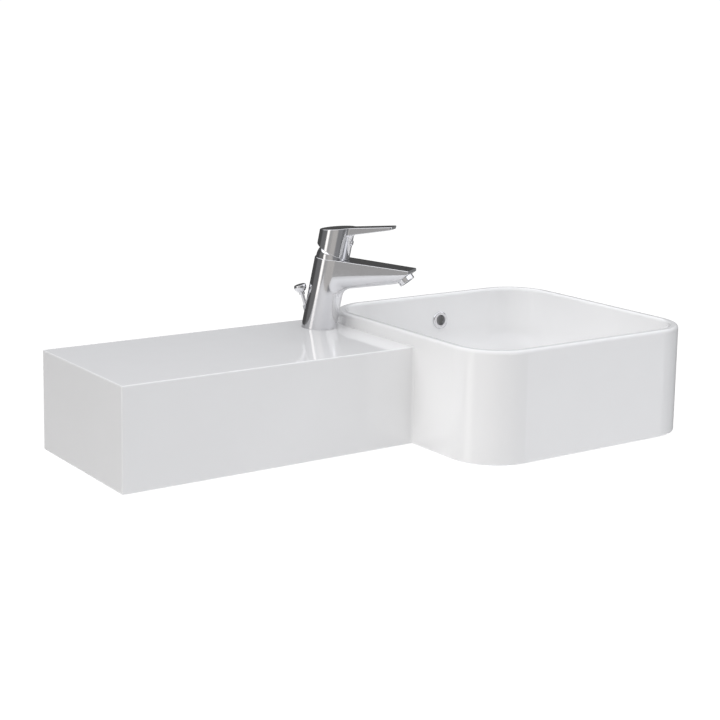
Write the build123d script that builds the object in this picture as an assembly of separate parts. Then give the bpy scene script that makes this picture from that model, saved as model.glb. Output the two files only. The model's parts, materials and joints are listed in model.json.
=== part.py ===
"""Wall-hung ceramic basin with a side shelf, a single-lever tap and a pop-up waste.

Millimetres. X runs to the right seen from the front, Y into the wall, Z up. The wall plane is Y = 0
and the origin is midway between the two wall bolts. Heights named "above the underside" are measured
from the flat underside of the basin, and heights named "up the tap" from the deck.
"""

import math
import os

from build123d import *

# Basin, outside
overall_width = 850.0
shelf_depth = 240.0
shelf_height = 140.0
shelf_edge_round = 2.0
bowl_side = 400.0
bowl_height = 158.0
bowl_corner = 72.0
bowl_foot_round = 3.0
rim_width = 14.0
rim_round = 5.0
junction_round = 4.0

# Basin, inside
apron_wall = 12.0
deck_thickness = 14.0
bowl_wall = 12.0
bowl_draft = 5.0
floor_height = 48.0
floor_corner = 80.0
cove_radius = 55.0

# Holes in the ceramic
wall_bolt_height = 58.0
wall_bolt_spacing = 560.0
wall_bolt_hole = 14.0
tap_hole = 35.0
drain_hole = 46.0
drain_boss = 80.0
drain_boss_height = 12.0
flange_recess_depth = 3.0
overflow_hole = 22.0
overflow_offset = 19.5
overflow_height = 117.0
duct_width = 28.0
duct_depth = 8.0
duct_wall = 6.0
duct_back_wall = 5.0
chamber_wall = 8.0

# Tap place and lean
tap_from_bowl = 39.0
tap_y = -58.0
spout_turn = 56.0
tap_lean = 10.5

# Tap body and spout
body_base_radius = 25.7
body_top_radius = 25.0
body_top_height = 107.3
spout_slope = 4.1
spout_root = 25.0
spout_root_width = 45.0
spout_root_crease = 25.0
spout_root_depth = 47.6
spout_tip = 144.0
spout_tip_width = 36.0
spout_tip_lip = 4.0
spout_tip_depth = 18.4
spout_end_tilt = 39.0
spout_duct = 13.0
spout_duct_root_drop = 26.0
spout_duct_tip_drop = 9.5
spout_duct_tip_back = 17.0
throat_round = 12.0
body_overlength = 10.0

# Cartridge
chamber_radius = 18.3
chamber_below_pivot = 45.0
base_seal_thickness = 1.5
housing_radius = 17.8
disc_radius = 14.3
fixed_disc_thickness = 4.0
fixed_disc_below_pivot = 25.0
moving_disc_radius = 10.5
moving_disc_thickness = 6.0
rotor_flange_thickness = 3.7
rotor_neck_radius = 11.5
rotor_above_pivot = 5.0
rotor_slot_step = 4.0
rotor_slot_back = 12.1
housing_lid = 2.0
nut_height = 6.0
nut_notch = 4.0
nut_notch_depth = 2.0
nut_inner_lip = 1.0
port_radius = 3.2
port_offset = 6.5
outlet_port_radius = 3.8
outlet_port_offset = 6.8
window_width = 12.0
window_height = 10.0
window_sill = 2.0
disc_clearance = 0.3
stem_pocket_gap = 0.6
pin_end_gap = 0.5
pin_running_gap = 0.05

# Lever handle
pivot_below_top = 0.3
dome_radius = 23.5
dome_wall = 3.0
dome_opening = 32.0
dome_gap = 0.35
handle_radius = 25.3
handle_top_rise = 45.3
handle_top_slope = 15.6
handle_skirt_rise = 10.8
handle_skirt_slope = -16.2
lever_tip = 84.5
lever_root_width = 28.0
lever_tip_width = 25.0
lever_root_thickness = 10.0
lever_tip_thickness = 4.8
lever_throat_round = 6.0
lever_corner = 4.0
lever_tip_rake = 0.8
stem_width = 8.0
stem_rise = 34.0
stem_tip_width = 6.0
stem_reach = 16.5
stem_gap = 0.1
pin_radius = 1.5
handle_screw_rise = 28.7
handle_screw_radius = 2.5
handle_screw_length = 12.0
screw_plug_radius = 4.2
screw_plug_proud = 2.0
screw_plug_depth = 3.0
screw_key_depth = 3.0
lever_tilt_range = 25.0

# Aerator
aerator_radius = 12.0
aerator_proud = 7.0
aerator_neck_radius = 10.5
aerator_neck = 8.0
aerator_wall = 1.6
aerator_place = 14.3
aerator_edge_round = 0.8
aerator_seal_thickness = 2.0
aerator_seal_width = 3.0
aerator_inset = 2.0
flow_grid_pitch = 3.4
flow_hole_radius = 1.2
flow_grid_edge = 1.8
flow_grid_rows = 2

# Tap fixings
inlet_radius = 4.5
inlet_depth = 16.0
inlet_forward = 8.5
inlet_side = 7.5
stud_radius = 3.0
stud_back = 7.0
stud_side = 11.0
stud_grip = 10.0
stud_length = 58.0
gasket_radius = 24.0
gasket_thickness = 3.0
washer_thickness = 2.5
washer_slot = 13.0
washer_slot_start = -1.5
washer_notch_back = 11.0
rod_notch_gap = 1.5
stud_gap = 0.3
fixing_nut = 10.0
fixing_nut_height = 6.0
base_ring_radius = 22.0
base_ring_section = 2.0

# Lift rod and knob
rod_radius = 2.5
rod_tilt = 16.7
rod_back_at_deck = 10.2
rod_running_gap = 0.06
rod_bore_gap = 1.0
knob_radius = 9.0
knob_height = 63.0
knob_centre_drop = 3.0
knob_rod_end = 4.0
knob_neck_wall = 1.5
knob_neck = 4.0
bush_radius = 4.5
bush_length = 8.0
bush_height = 30.0
rod_travel = 40.0

# Pop-up linkage
pivot_drop = 22.0
pivot_distance = 30.0
ball_radius = 6.0
ball_back_room = 4.5
port_outer_radius = 10.0
port_reach = 37.0
port_bore = 6.6
port_inner_bore = 4.8
seal_gap = 0.06
pivot_nut_radius = 13.0
pivot_nut_length = 10.0
pivot_nut_end_wall = 5.0
pivot_nut_hole = 5.0
pivot_nut_ribs = 6
rib_height = 1.2
rib_width = 3.0
rib_root = 2.0
pivot_rod_tail = 4.0
pivot_rod_overrun = 30.0
clamp_width = 14.0
clamp_thickness = 12.0
clamp_above = 22.0
clamp_below = 8.0
clamp_hole = 3.9
clamp_rod_stop = 6.5
clamp_screw_first = 4.0
clamp_screw_head_height = 4.0
clamp_screw_tip = 1.0
clamp_screw_radius = 2.0
clamp_screw_head = 4.0
clamp_screw_pitch = 8.0
clip_gap = 10.0
clip_plate = 1.0
clip_size = 10.0
clip_depth = 5.0

# Waste
flange_radius = 32.0
flange_thickness = 3.5
flange_seal_thickness = 1.0
flange_gap = 0.5
flange_edge_round = 1.5
waste_tube_radius = 21.0
waste_bore = 17.5
waste_tube_end = -12.0
waste_slot_width = 12.0
waste_slot_height = 12.0
seat_radius = 21.0
seat_depth = 3.0
lower_seal_radius = 38.0
lower_seal_thickness = 3.5
friction_washer_radius = 36.0
friction_washer_thickness = 1.5
lock_nut_radius = 34.0
lock_nut_height = 12.0
lock_nut_wings = 8
wing_width = 6.0
wing_height = 2.0
wing_root = 4.0
thread_gap = 0.1
waste_body_radius = 25.0
waste_body_waist = 22.0
waste_shoulder = 8.0
waste_body_bottom = -36.0
tail_radius = 16.0
tail_wall = 1.5
tail_grip = 8.0
tail_grip_radius = 15.8
tail_end = -58.0
plug_radius = 19.5
plug_thickness = 3.0
plug_crown = 2.0
plug_seal_thickness = 2.5
plug_seal_gap = 0.3
plug_collar = 3.0
plug_seat_drop = 1.0
plug_eye_below = 6.0
plug_stem_radius = 4.0
fin_radius = 17.2
fin_thickness = 2.0
fin_bottom = 8.0
plug_eye = 2.9

# Overflow ring
overflow_ring_radius = 14.0
overflow_ring_proud = 2.6
overflow_ring_bore = 8.5
overflow_spigot_length = 3.0
overflow_spigot_gap = 0.6

# Values worked out from the sizes above
underside = -wall_bolt_height
deck_z = underside + shelf_height
rim_z = underside + bowl_height
floor_z = underside + floor_height
left_x = -overall_width / 2
bowl_x = overall_width / 2 - bowl_side / 2
bowl_y = -bowl_side / 2
tap_x = bowl_x - bowl_side / 2 - tap_from_bowl
overflow_x = bowl_x + overflow_offset
overflow_z = underside + overflow_height
lean = math.radians(tap_lean)
pivot_height = body_top_height - pivot_below_top
chamber_floor = pivot_height - chamber_below_pivot
fixed_disc_height = pivot_height - fixed_disc_below_pivot
handle_skirt_height = pivot_height + handle_skirt_rise
handle_screw_height = pivot_height + handle_screw_rise
handle_top_height = pivot_height + handle_top_rise
stem_top = pivot_height + stem_rise

# Cutters run past the face that they open, and a half space is a large block
BASE = (Align.CENTER, Align.CENTER, Align.MIN)
OVER = 1.0
FAR = 80.0


def column(radius, bottom, top):
    """Solid cylinder about Z from one height to another."""
    return Pos(0, 0, bottom) * Cylinder(radius, top - bottom, align=BASE)


def ring(outer, inner, bottom, top):
    """Plain ring about Z from one height to another."""
    return column(outer, bottom, top) - column(inner, bottom - OVER, top + OVER)


def block(x0, x1, y0, y1, z0, z1):
    """Box between two corners."""
    return Pos((x0 + x1) / 2, (y0 + y1) / 2, (z0 + z1) / 2) * Box(x1 - x0, y1 - y0, z1 - z0)


def bar(start, end, radius):
    """Round bar between two points."""
    a = Vector(*start)
    b = Vector(*end)
    return Plane(origin=a, z_dir=b - a) * Cylinder(radius, (b - a).length, align=BASE)


def hexagon(across_flats, bottom, top):
    """Hexagonal prism about Z."""
    outline = RegularPolygon(across_flats / 2, 6, major_radius=False)
    return Pos(0, 0, bottom) * extrude(outline, amount=top - bottom)


def below(z=0.0):
    """Everything under a height, as a large block."""
    return block(-FAR, FAR, -FAR, FAR, z - 2 * FAR, z)


def above(z=0.0):
    """Everything over a height, as a large block."""
    return block(-FAR, FAR, -FAR, FAR, z, z + 2 * FAR)


def save(name, shape):
    """Write one sub-part, which may be several separate solids."""
    export_step(shape, f"parts/{name}.step")


# Frames: the tap on the deck, its leaning axis, the linkage plane and the drain
reach_x = bowl_x - tap_x
reach_y = tap_y - bowl_y
drain_distance = math.hypot(reach_x, reach_y)
link_turn = math.degrees(math.atan2(reach_y, reach_x))
tap_frame = Pos(tap_x, tap_y, deck_z) * Rot(0, 0, -spout_turn)
axis_frame = tap_frame * Rot(0, tap_lean, 0)
link_frame = Pos(tap_x, tap_y, deck_z) * Rot(0, 0, -link_turn)
rod_frame = link_frame * Pos(-rod_back_at_deck, 0, 0) * Rot(0, -rod_tilt, 0)
drain_frame = Pos(bowl_x, bowl_y, underside)
port_frame = drain_frame * Rot(0, 0, 180 - link_turn) * Pos(0, 0, -pivot_drop)


# Basin
def bowl_half(z):
    """Half the bowl's inner width at a height on its straight, drafted wall."""
    return bowl_side / 2 - rim_width - (rim_z - z) * math.tan(math.radians(bowl_draft))


def bowl_form(grow):
    """Hollow of the bowl as a solid, grown outwards by a wall."""
    top = rim_z + OVER
    low = floor_z - grow
    top_side = 2 * (bowl_half(top) + grow)
    low_side = 2 * (bowl_half(low) + grow)
    steps = [
        Pos(0, 0, top) * RectangleRounded(top_side, top_side, bowl_corner - rim_width + grow),
        Pos(0, 0, low) * RectangleRounded(low_side, low_side, floor_corner + grow),
    ]
    form = loft(steps, ruled=True)
    foot = form.edges().group_by(Axis.Z)[0]
    return Pos(bowl_x, bowl_y, 0) * fillet(foot, cove_radius + grow)


def basin_outside():
    """Shelf box and bowl block with their small roundings."""
    bowl = extrude(RectangleRounded(bowl_side, bowl_side, bowl_corner), amount=bowl_height)
    bowl = fillet(bowl.edges().group_by(Axis.Z)[-1], rim_round)
    bowl = fillet(bowl.edges().group_by(Axis.Z)[0], bowl_foot_round)
    bowl = drain_frame * bowl
    shelf_right = bowl_x - bowl_side / 2 + bowl_corner
    shelf = block(left_x, shelf_right, -shelf_depth, 0, underside, deck_z)
    across = shelf.edges().filter_by(Axis.X)
    at_left = shelf.edges().group_by(Axis.X)[0]
    shelf = fillet(across + at_left, shelf_edge_round)
    whole = shelf + bowl
    bowl_left = bowl_x - bowl_side / 2
    corner_x = bowl_left - junction_round
    corner_y = -shelf_depth - junction_round
    soft_corner = block(
        corner_x, bowl_left + OVER, corner_y, OVER - shelf_depth,
        underside + bowl_foot_round, deck_z - shelf_edge_round,
    )
    scoop = Pos(corner_x, corner_y, 0) * column(junction_round, underside, deck_z)
    return whole + (soft_corner - scoop)


def basin():
    """Ceramic body: walls round an open underside, the bowl, its holes and the overflow duct."""
    whole = basin_outside()
    shell = bowl_form(bowl_wall)
    shelf_right = bowl_x - bowl_side / 2 + bowl_corner
    hollow_top = deck_z - deck_thickness
    hollow = block(
        left_x + apron_wall, shelf_right, apron_wall - shelf_depth, -apron_wall, underside - OVER, hollow_top
    )
    inner_side = bowl_side - 2 * apron_wall
    under_bowl = extrude(
        RectangleRounded(inner_side, inner_side, bowl_corner - apron_wall), amount=bowl_height - rim_width
    )
    hollow += drain_frame * Pos(0, 0, -OVER) * under_bowl
    boss_bottom = underside + drain_boss_height
    boss = Pos(bowl_x, bowl_y, 0) * column(drain_boss / 2, boss_bottom, floor_z - OVER)
    casing = duct_solid(duct_wall)
    whole = whole - (hollow - shell - boss - casing)
    whole = whole - bowl_form(0)
    whole = whole - drain_frame * column(drain_hole / 2, -OVER, floor_height + OVER)
    recess = column(flange_radius + flange_gap, floor_height - flange_recess_depth, floor_height + FAR)
    whole = whole - drain_frame * recess
    chamber = column(
        drain_boss / 2 - chamber_wall, drain_boss_height + duct_wall, floor_height - bowl_wall
    )
    whole = whole - drain_frame * chamber
    whole = whole - duct_solid(0)
    mouth_length = -(bowl_y + bowl_half(overflow_z)) + apron_wall
    mouth = Pos(overflow_x, -duct_back_wall, overflow_z) * Rot(90, 0, 0)
    whole = whole - mouth * Cylinder(overflow_hole / 2, mouth_length, align=BASE)
    whole = whole - Pos(tap_x, tap_y, 0) * column(tap_hole / 2, hollow_top - OVER, deck_z + OVER)
    for side in (-1, 1):
        bolt = Pos(side * wall_bolt_spacing / 2, OVER, 0) * Rot(90, 0, 0)
        whole = whole - bolt * Cylinder(wall_bolt_hole / 2, 2 * apron_wall, align=BASE)
    return fillet(inner_rim_edges(whole), rim_round)


def inner_rim_edges(whole):
    """Edges where the flat rim meets the bowl's inside."""
    reach = bowl_half(rim_z) + OVER / 2
    ends_inside = [
        edge for edge in whole.edges().group_by(Axis.Z)[-1]
        if all(
            max(abs(point.X - bowl_x), abs(point.Y - bowl_y)) < reach
            for point in (edge @ 0, edge @ 1)
        )
    ]
    return ends_inside


def duct_solid(grow):
    """Overflow duct: down behind the bowl wall, then forward under the floor to the drain."""
    left = overflow_x - duct_width / 2 - grow
    right = overflow_x + duct_width / 2 + grow
    low = underside + drain_boss_height + duct_wall - grow
    high = floor_z - bowl_wall + grow
    back = -OVER if grow else -duct_back_wall
    front = bowl_y if grow else bowl_y + drain_hole / 2
    shaft_front = -duct_back_wall - duct_depth - grow
    down = block(left, right, shaft_front, back, low, overflow_z + overflow_hole / 2 + grow)
    return down + block(left, right, front, back, low, high)


def overflow_ring():
    """Chrome ring in the back wall of the bowl, with a short spigot in the hole."""
    wall_y = bowl_y + bowl_half(overflow_z)
    place = Pos(overflow_x, wall_y, overflow_z) * Rot(90 - bowl_draft, 0, 0)
    disc = column(overflow_ring_radius, 0, overflow_ring_proud)
    disc = fillet(disc.edges().group_by(Axis.Z)[-1], overflow_ring_proud * 0.8)
    spigot = column(overflow_hole / 2 - overflow_spigot_gap, -overflow_spigot_length, overflow_ring_proud / 2)
    bore = column(overflow_ring_bore, -overflow_spigot_length - OVER, overflow_ring_proud + OVER)
    return place * (disc + spigot - bore)


# Tap
def plane_height(x):
    """Height of the spout's flat top at a distance along the spout."""
    start_x = body_top_height * math.sin(lean)
    start_z = body_top_height * math.cos(lean)
    return start_z - (x - start_x) * math.tan(math.radians(spout_slope))


def spout_section(x, width, crease, depth):
    """One section across the spout: flat top, short sides and a round belly."""
    top = plane_height(x)
    half = width / 2
    with BuildLine() as outline:
        Line((-half, top), (half, top))
        Line((half, top), (half, top - crease))
        ThreePointArc((half, top - crease), (0, top - depth), (-half, top - crease))
        Line((-half, top - crease), (-half, top))
    return Plane(origin=(x, 0, 0), x_dir=(0, 1, 0), z_dir=(1, 0, 0)) * make_face(outline.line)


def aerator_frame():
    """Frame on the spout's slanted end, its Z along the stream."""
    lip_z = plane_height(spout_tip) - spout_tip_lip
    tilt = math.radians(spout_end_tilt)
    x = spout_tip - aerator_place * math.cos(tilt)
    z = lip_z - aerator_place * math.sin(tilt)
    return Pos(x, 0, z) * Rot(0, 180 - spout_end_tilt, 0)


def top_seat():
    """Frame on the body's flat, sloping top, at the foot of the tap's upright axis."""
    return Pos(0, 0, plane_height(0)) * Rot(0, spout_slope, 0)


def tap_body():
    """Cast tap body: leaning column, spout, cartridge chamber and water ways."""
    column_length = body_top_height + 2 * body_overlength
    leaning = Rot(0, tap_lean, 0) * Pos(0, 0, -body_overlength) * Cone(
        body_base_radius, body_top_radius, column_length, align=BASE
    )
    spout = loft(
        [
            spout_section(spout_root, spout_root_width, spout_root_crease, spout_root_depth),
            spout_section(spout_tip, spout_tip_width, spout_tip_lip, spout_tip_depth),
        ],
        ruled=True,
    )
    lip = Pos(spout_tip, 0, plane_height(spout_tip) - spout_tip_lip)
    spout = spout - lip * Rot(0, -spout_end_tilt, 0) * below()
    leaning = leaning - top_seat() * above()
    leaning = leaning & above()
    body = leaning + spout
    crease_z = plane_height(spout_root) - spout_root_crease
    throat = [
        edge for edge in body.edges().filter_by(GeomType.BSPLINE)
        if edge.center().X < spout_root + body_top_radius and edge.center().Z < crease_z
    ]
    body = fillet(throat, throat_round)
    chamber = Rot(0, tap_lean, 0) * column(chamber_radius, chamber_floor, body_top_height + FAR)
    body = body - chamber
    tilt = aerator_frame()
    recess = tilt * column(
        aerator_neck_radius + thread_gap, -aerator_neck - 2 * aerator_seal_thickness, FAR
    )
    body = body - recess
    duct_start = (chamber_radius, 0, plane_height(0) - spout_duct_root_drop)
    duct_end = (spout_tip - spout_duct_tip_back, 0, plane_height(spout_tip) - spout_duct_tip_drop)
    return body - bar(duct_start, duct_end, spout_duct / 2)


def water_ways():
    """Inlet sockets from below, their passages to the chamber floor, stud holes and the rod's bore."""
    cuts = []
    floor = Rot(0, tap_lean, 0) * Pos(0, 0, chamber_floor)
    turn = Rot(0, 0, spout_turn - link_turn)
    for side in (-1, 1):
        socket = turn * Pos(inlet_forward, side * inlet_side, 0)
        cuts.append(socket * column(inlet_radius, -OVER, inlet_depth))
        start = (socket * Pos(0, 0, inlet_depth - OVER)).position
        end = (floor * Pos(0, side * port_offset, OVER)).position
        cuts.append(bar(start, end, port_radius))
        stud = turn * Pos(-stud_back, side * stud_side, 0)
        cuts.append(stud * column(stud_radius, -OVER, stud_grip))
    return cuts


def tap_rod_cuts():
    """Bore for the lift rod and the wider seat of its bush, in the tap's frame."""
    to_tap = Rot(0, 0, spout_turn - link_turn) * Pos(-rod_back_at_deck, 0, 0) * Rot(0, -rod_tilt, 0)
    bore = column(rod_radius + rod_bore_gap, -FAR, bush_height)
    seat = column(bush_radius, bush_height - bush_length / 2, bush_height + FAR)
    return [to_tap * bore, to_tap * seat]


# Cartridge: heights up the leaning axis
housing_bottom = chamber_floor + base_seal_thickness
moving_disc_height = fixed_disc_height + fixed_disc_thickness
rotor_bottom = moving_disc_height + moving_disc_thickness + disc_clearance
rotor_shoulder = rotor_bottom + rotor_flange_thickness
lid_bottom = rotor_shoulder + disc_clearance
housing_top = lid_bottom + housing_lid
nut_top = housing_top + nut_height
stem_bottom = pivot_height - stem_reach
disc_throw = stem_reach * math.radians(lever_tilt_range)


def port_cuts(bottom, top):
    """Two inlet ports and the outlet port through a plate of the cartridge."""
    cuts = [Pos(outlet_port_offset, 0, 0) * column(outlet_port_radius, bottom, top)]
    for side in (-1, 1):
        cuts.append(Pos(0, side * port_offset, 0) * column(port_radius, bottom, top))
    return cuts


def cartridge_base_seal():
    """Rubber plate under the cartridge."""
    plate = column(housing_radius, chamber_floor, housing_bottom)
    return plate - port_cuts(chamber_floor - OVER, housing_bottom + OVER)


def cartridge_housing():
    """Plastic shell of the cartridge, with a side window for the mixed water."""
    shell = column(housing_radius, housing_bottom, housing_top)
    inside = column(disc_radius + disc_clearance, fixed_disc_height, lid_bottom)
    neck = column(rotor_neck_radius + disc_clearance, lid_bottom - OVER, housing_top + OVER)
    shell = shell - inside - neck
    for side in (-1, 1):
        shell = shell - Pos(0, side * port_offset, 0) * column(
            port_radius, housing_bottom - OVER, fixed_disc_height + OVER
        )
    window_high = fixed_disc_height - window_sill
    window_low = window_high - window_height
    half = window_width / 2
    window = block(outlet_port_radius, housing_radius + OVER, -half, half, window_low, window_high)
    outlet = Pos(outlet_port_offset, 0, 0) * column(
        outlet_port_radius, window_low, fixed_disc_height + OVER
    )
    return shell - window - outlet


def fixed_disc():
    """Lower ceramic disc with the ports."""
    disc = column(disc_radius, fixed_disc_height, moving_disc_height)
    return disc - port_cuts(fixed_disc_height - OVER, moving_disc_height + OVER)


def moving_disc():
    """Upper ceramic disc, which the lever's stem pushes across the ports."""
    top = moving_disc_height + moving_disc_thickness
    disc = Pos(-disc_throw / 2, 0, 0) * column(moving_disc_radius, moving_disc_height, top)
    half = stem_tip_width / 2 + stem_pocket_gap
    pocket = block(-half, half, -half, half, stem_bottom - stem_pocket_gap, top + OVER)
    return disc - pocket


def cartridge_rotor():
    """Turning carrier of the stem, with the fork that holds the pivot pin."""
    flange = column(disc_radius, rotor_bottom, rotor_shoulder)
    neck = column(rotor_neck_radius, rotor_bottom, pivot_height + rotor_above_pivot)
    half = stem_width / 2 + stem_gap
    swing = stem_reach * math.sin(math.radians(lever_tilt_range)) + stem_tip_width / 2
    front = swing + stem_pocket_gap
    step_z = pivot_height - rotor_slot_step
    slot = block(-half - OVER, front, -half, half, rotor_bottom - OVER, step_z)
    slot += block(-rotor_slot_back, front, -half, half, step_z, pivot_height + FAR)
    pin = Pos(0, 0, pivot_height) * Rot(90, 0, 0) * Cylinder(pin_radius, 4 * rotor_neck_radius)
    return flange + neck - slot - pin


def cartridge_pin():
    """Steel pin on which the stem tilts."""
    length = 2 * math.sqrt(rotor_neck_radius**2 - pin_radius**2) - 2 * pin_end_gap
    return Pos(0, 0, pivot_height) * Rot(90, 0, 0) * Cylinder(pin_radius, length)


def cartridge_stem():
    """Square stem of the lever with a narrower tip that drives the moving disc."""
    half = stem_width / 2
    tip = stem_tip_width / 2
    upper = block(-half, half, -half, half, pivot_height - half, stem_top)
    lower = block(-tip, tip, -tip, tip, stem_bottom, pivot_height)
    hole = Pos(0, 0, pivot_height) * Rot(90, 0, 0) * Cylinder(pin_radius + pin_running_gap, 4 * half)
    return upper + lower - hole


def cartridge_nut():
    """Brass ring nut that holds the cartridge down in the chamber."""
    ring_nut = ring(chamber_radius, rotor_neck_radius + nut_inner_lip, housing_top, nut_top)
    half = nut_notch / 2
    floor = nut_top - nut_notch_depth
    across = block(-chamber_radius, chamber_radius, -half, half, floor, nut_top + OVER)
    kept_lip = column(rotor_neck_radius + 3 * nut_inner_lip, floor - OVER, nut_top + 2 * OVER)
    return ring_nut - (across - kept_lip)


def dome_collar():
    """Chrome dome ring round the cartridge, seated on the top of the tap body."""
    ball = Pos(0, 0, pivot_height) * Sphere(dome_radius)
    inside = Pos(0, 0, pivot_height) * Sphere(dome_radius - dome_wall)
    zone = ball - inside - column(dome_opening / 2, pivot_height, pivot_height + FAR)
    return zone - Rot(0, -tap_lean, 0) * top_seat() * below()


def handle_lever():
    """Flat lever: its side profile and its tapered plan with round corners, one cut by the other."""
    slope = math.radians(handle_top_slope)
    start = 0.0
    tip_top = handle_top_height + lever_tip * math.tan(slope)
    root = handle_radius + lever_throat_round
    root_low = handle_top_height + root * math.tan(slope) - lever_root_thickness
    tip_low = (lever_tip - lever_tip_rake, tip_top - lever_tip_thickness)
    throat_low = root_low - lever_throat_round
    with BuildLine() as side:
        Polyline(
            (start, handle_top_height), (lever_tip, tip_top), tip_low, (root, root_low),
            (handle_radius, throat_low), (start, throat_low), close=True,
        )
    lever = extrude(Plane.XZ * make_face(side.line), amount=lever_root_width / 2, both=True)
    half_root = lever_root_width / 2
    half_tip = lever_tip_width / 2
    with BuildLine() as plan:
        Line((start, -half_root), (lever_tip - lever_corner, -half_tip))
        RadiusArc((lever_tip - lever_corner, -half_tip), (lever_tip, lever_corner - half_tip), lever_corner)
        Line((lever_tip, lever_corner - half_tip), (lever_tip, half_tip - lever_corner))
        RadiusArc((lever_tip, half_tip - lever_corner), (lever_tip - lever_corner, half_tip), lever_corner)
        Line((lever_tip - lever_corner, half_tip), (start, half_root))
        Line((start, half_root), (start, -half_root))
    plan_form = Pos(0, 0, pivot_height) * extrude(make_face(plan.line), amount=FAR)
    return lever & plan_form


def handle():
    """Chrome lever handle: round cap with a spherical hollow, slanted skirt and a flat lever."""
    cap = column(handle_radius, pivot_height, handle_top_height + FAR)
    cap = cap - Pos(0, 0, handle_skirt_height) * Rot(0, -handle_skirt_slope, 0) * below()
    cap = cap - Pos(0, 0, handle_top_height) * Rot(0, -handle_top_slope, 0) * above()
    whole = cap + handle_lever()
    hollow = Pos(0, 0, pivot_height) * Sphere(dome_radius + dome_gap)
    half = stem_width / 2
    socket = block(-half, half, -half, half, pivot_height, stem_top)
    place = Pos(0, 0, handle_screw_height) * Rot(0, 90, 0)
    hole = place * column(handle_screw_radius, 0, FAR)
    plug_seat = place * column(screw_plug_radius, handle_radius - screw_plug_depth, FAR)
    return whole - hollow - socket - hole - plug_seat


def handle_screw():
    """Grub screw that clamps the handle on its stem."""
    place = Pos(0, 0, handle_screw_height) * Rot(0, 90, 0)
    start = stem_width / 2
    end = start + handle_screw_length
    screw = column(handle_screw_radius, start, end)
    key = hexagon(handle_screw_radius, end - screw_key_depth, end + OVER)
    return place * (screw - key)


def screw_plug():
    """Small round plug over the grub screw."""
    place = Pos(0, 0, handle_screw_height) * Rot(0, 90, 0)
    plug = column(
        screw_plug_radius, handle_radius - screw_plug_depth, handle_radius + screw_plug_proud
    )
    return place * fillet(plug.edges().group_by(Axis.Z)[-1], screw_plug_proud * 0.6)


# Aerator, in the frame of the spout's end
def aerator_housing():
    """Chrome ring screwed into the spout's end."""
    skirt = column(aerator_radius, 0, aerator_proud)
    skirt = fillet(skirt.edges().group_by(Axis.Z)[-1], aerator_edge_round)
    neck = column(aerator_neck_radius, -aerator_neck, aerator_proud / 2)
    bore = column(aerator_neck_radius - aerator_wall, -aerator_neck - OVER, aerator_proud + OVER)
    return skirt + neck - bore


def aerator_insert():
    """Plastic flow straightener with a grid of holes."""
    radius = aerator_neck_radius - aerator_wall
    insert = column(radius, -aerator_neck, aerator_proud - aerator_inset)
    steps = range(-flow_grid_rows, flow_grid_rows + 1)
    row_height = flow_grid_pitch * math.sqrt(3) / 2
    places = [
        (flow_grid_pitch * (across + row / 2), row_height * row) for row in steps for across in steps
    ]
    return insert - [
        Pos(x, y, 0) * column(flow_hole_radius, -aerator_neck - OVER, aerator_proud)
        for x, y in places
        if math.hypot(x, y) < radius - flow_grid_edge
    ]


def aerator_seal():
    """Rubber washer above the aerator."""
    inner = aerator_neck_radius - aerator_seal_width
    return ring(aerator_neck_radius, inner, -aerator_neck - aerator_seal_thickness, -aerator_neck)


# Tap fixings, in the linkage frame
def horseshoe(radius, bottom, top):
    """Plate with a slot for the supply inlets, a notch for the rod and two stud holes."""
    plate = column(radius, bottom, top)
    low = bottom - OVER
    high = top + OVER
    notch = rod_radius + rod_notch_gap
    plate = plate - block(washer_slot_start, radius + OVER, -washer_slot, washer_slot, low, high)
    plate = plate - block(-washer_notch_back, 0, -notch, notch, low, high)
    return plate - stud_pair(lambda: column(stud_radius + stud_gap, low, high))


gasket_top = -deck_thickness
gasket_bottom = gasket_top - gasket_thickness
washer_bottom = gasket_bottom - washer_thickness


def stud_pair(make):
    """The same piece at both studs."""
    return [Pos(-stud_back, side * stud_side, 0) * make() for side in (-1, 1)]


def mounting_studs():
    """Two threaded studs from the tap body down through the deck."""
    return stud_pair(lambda: column(stud_radius, stud_grip - stud_length, stud_grip))


def mounting_nuts():
    """Two nuts under the horseshoe washer."""
    low = washer_bottom - fixing_nut_height
    return stud_pair(
        lambda: hexagon(fixing_nut, low, washer_bottom)
        - column(stud_radius, low - OVER, washer_bottom + OVER)
    )


def base_ring():
    """Rubber ring in a groove under the tap body."""
    return ring(base_ring_radius, base_ring_radius - base_ring_section, 0, base_ring_section)


# Lift rod: heights up the rod from the deck
rod_cos = math.cos(math.radians(rod_tilt))
rod_sin = math.sin(math.radians(rod_tilt))
lift_height = rod_travel * rod_cos
lift_shift = rod_travel * rod_sin
outer_drop = lift_height / 2
link_level = -shelf_height - pivot_drop - outer_drop
link_up_rod = link_level / rod_cos
link_back = -rod_back_at_deck + -link_level * rod_sin / rod_cos
outer_arm = drain_distance - pivot_distance - link_back
rest_swing = math.degrees(math.atan2(outer_drop, outer_arm))
top_swing = math.degrees(math.atan2(outer_drop, outer_arm + lift_shift))
swing_range = rest_swing + top_swing
inner_rise = pivot_distance * math.sin(math.radians(rest_swing))
plug_travel = inner_rise + pivot_distance * math.sin(math.radians(top_swing))


def lift_rod():
    """Long rod from the knob down to the clamp."""
    return column(rod_radius, link_up_rod + clamp_rod_stop, knob_height / rod_cos - knob_rod_end)


def lift_knob():
    """Half-ball knob with a flat top."""
    top = knob_height / rod_cos
    ball = Pos(0, 0, top - knob_centre_drop) * Sphere(knob_radius)
    neck = column(rod_radius + knob_neck_wall, top - knob_radius - knob_neck, top - knob_radius)
    socket = column(rod_radius, top - FAR, top - knob_rod_end)
    return ball + neck - above(top) - socket


def rod_bush():
    """Plastic bush where the rod leaves the tap body."""
    sleeve = column(bush_radius, bush_height - bush_length / 2, bush_height + bush_length / 2)
    return sleeve - column(rod_radius + rod_running_gap, 0, bush_height + bush_length)


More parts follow.
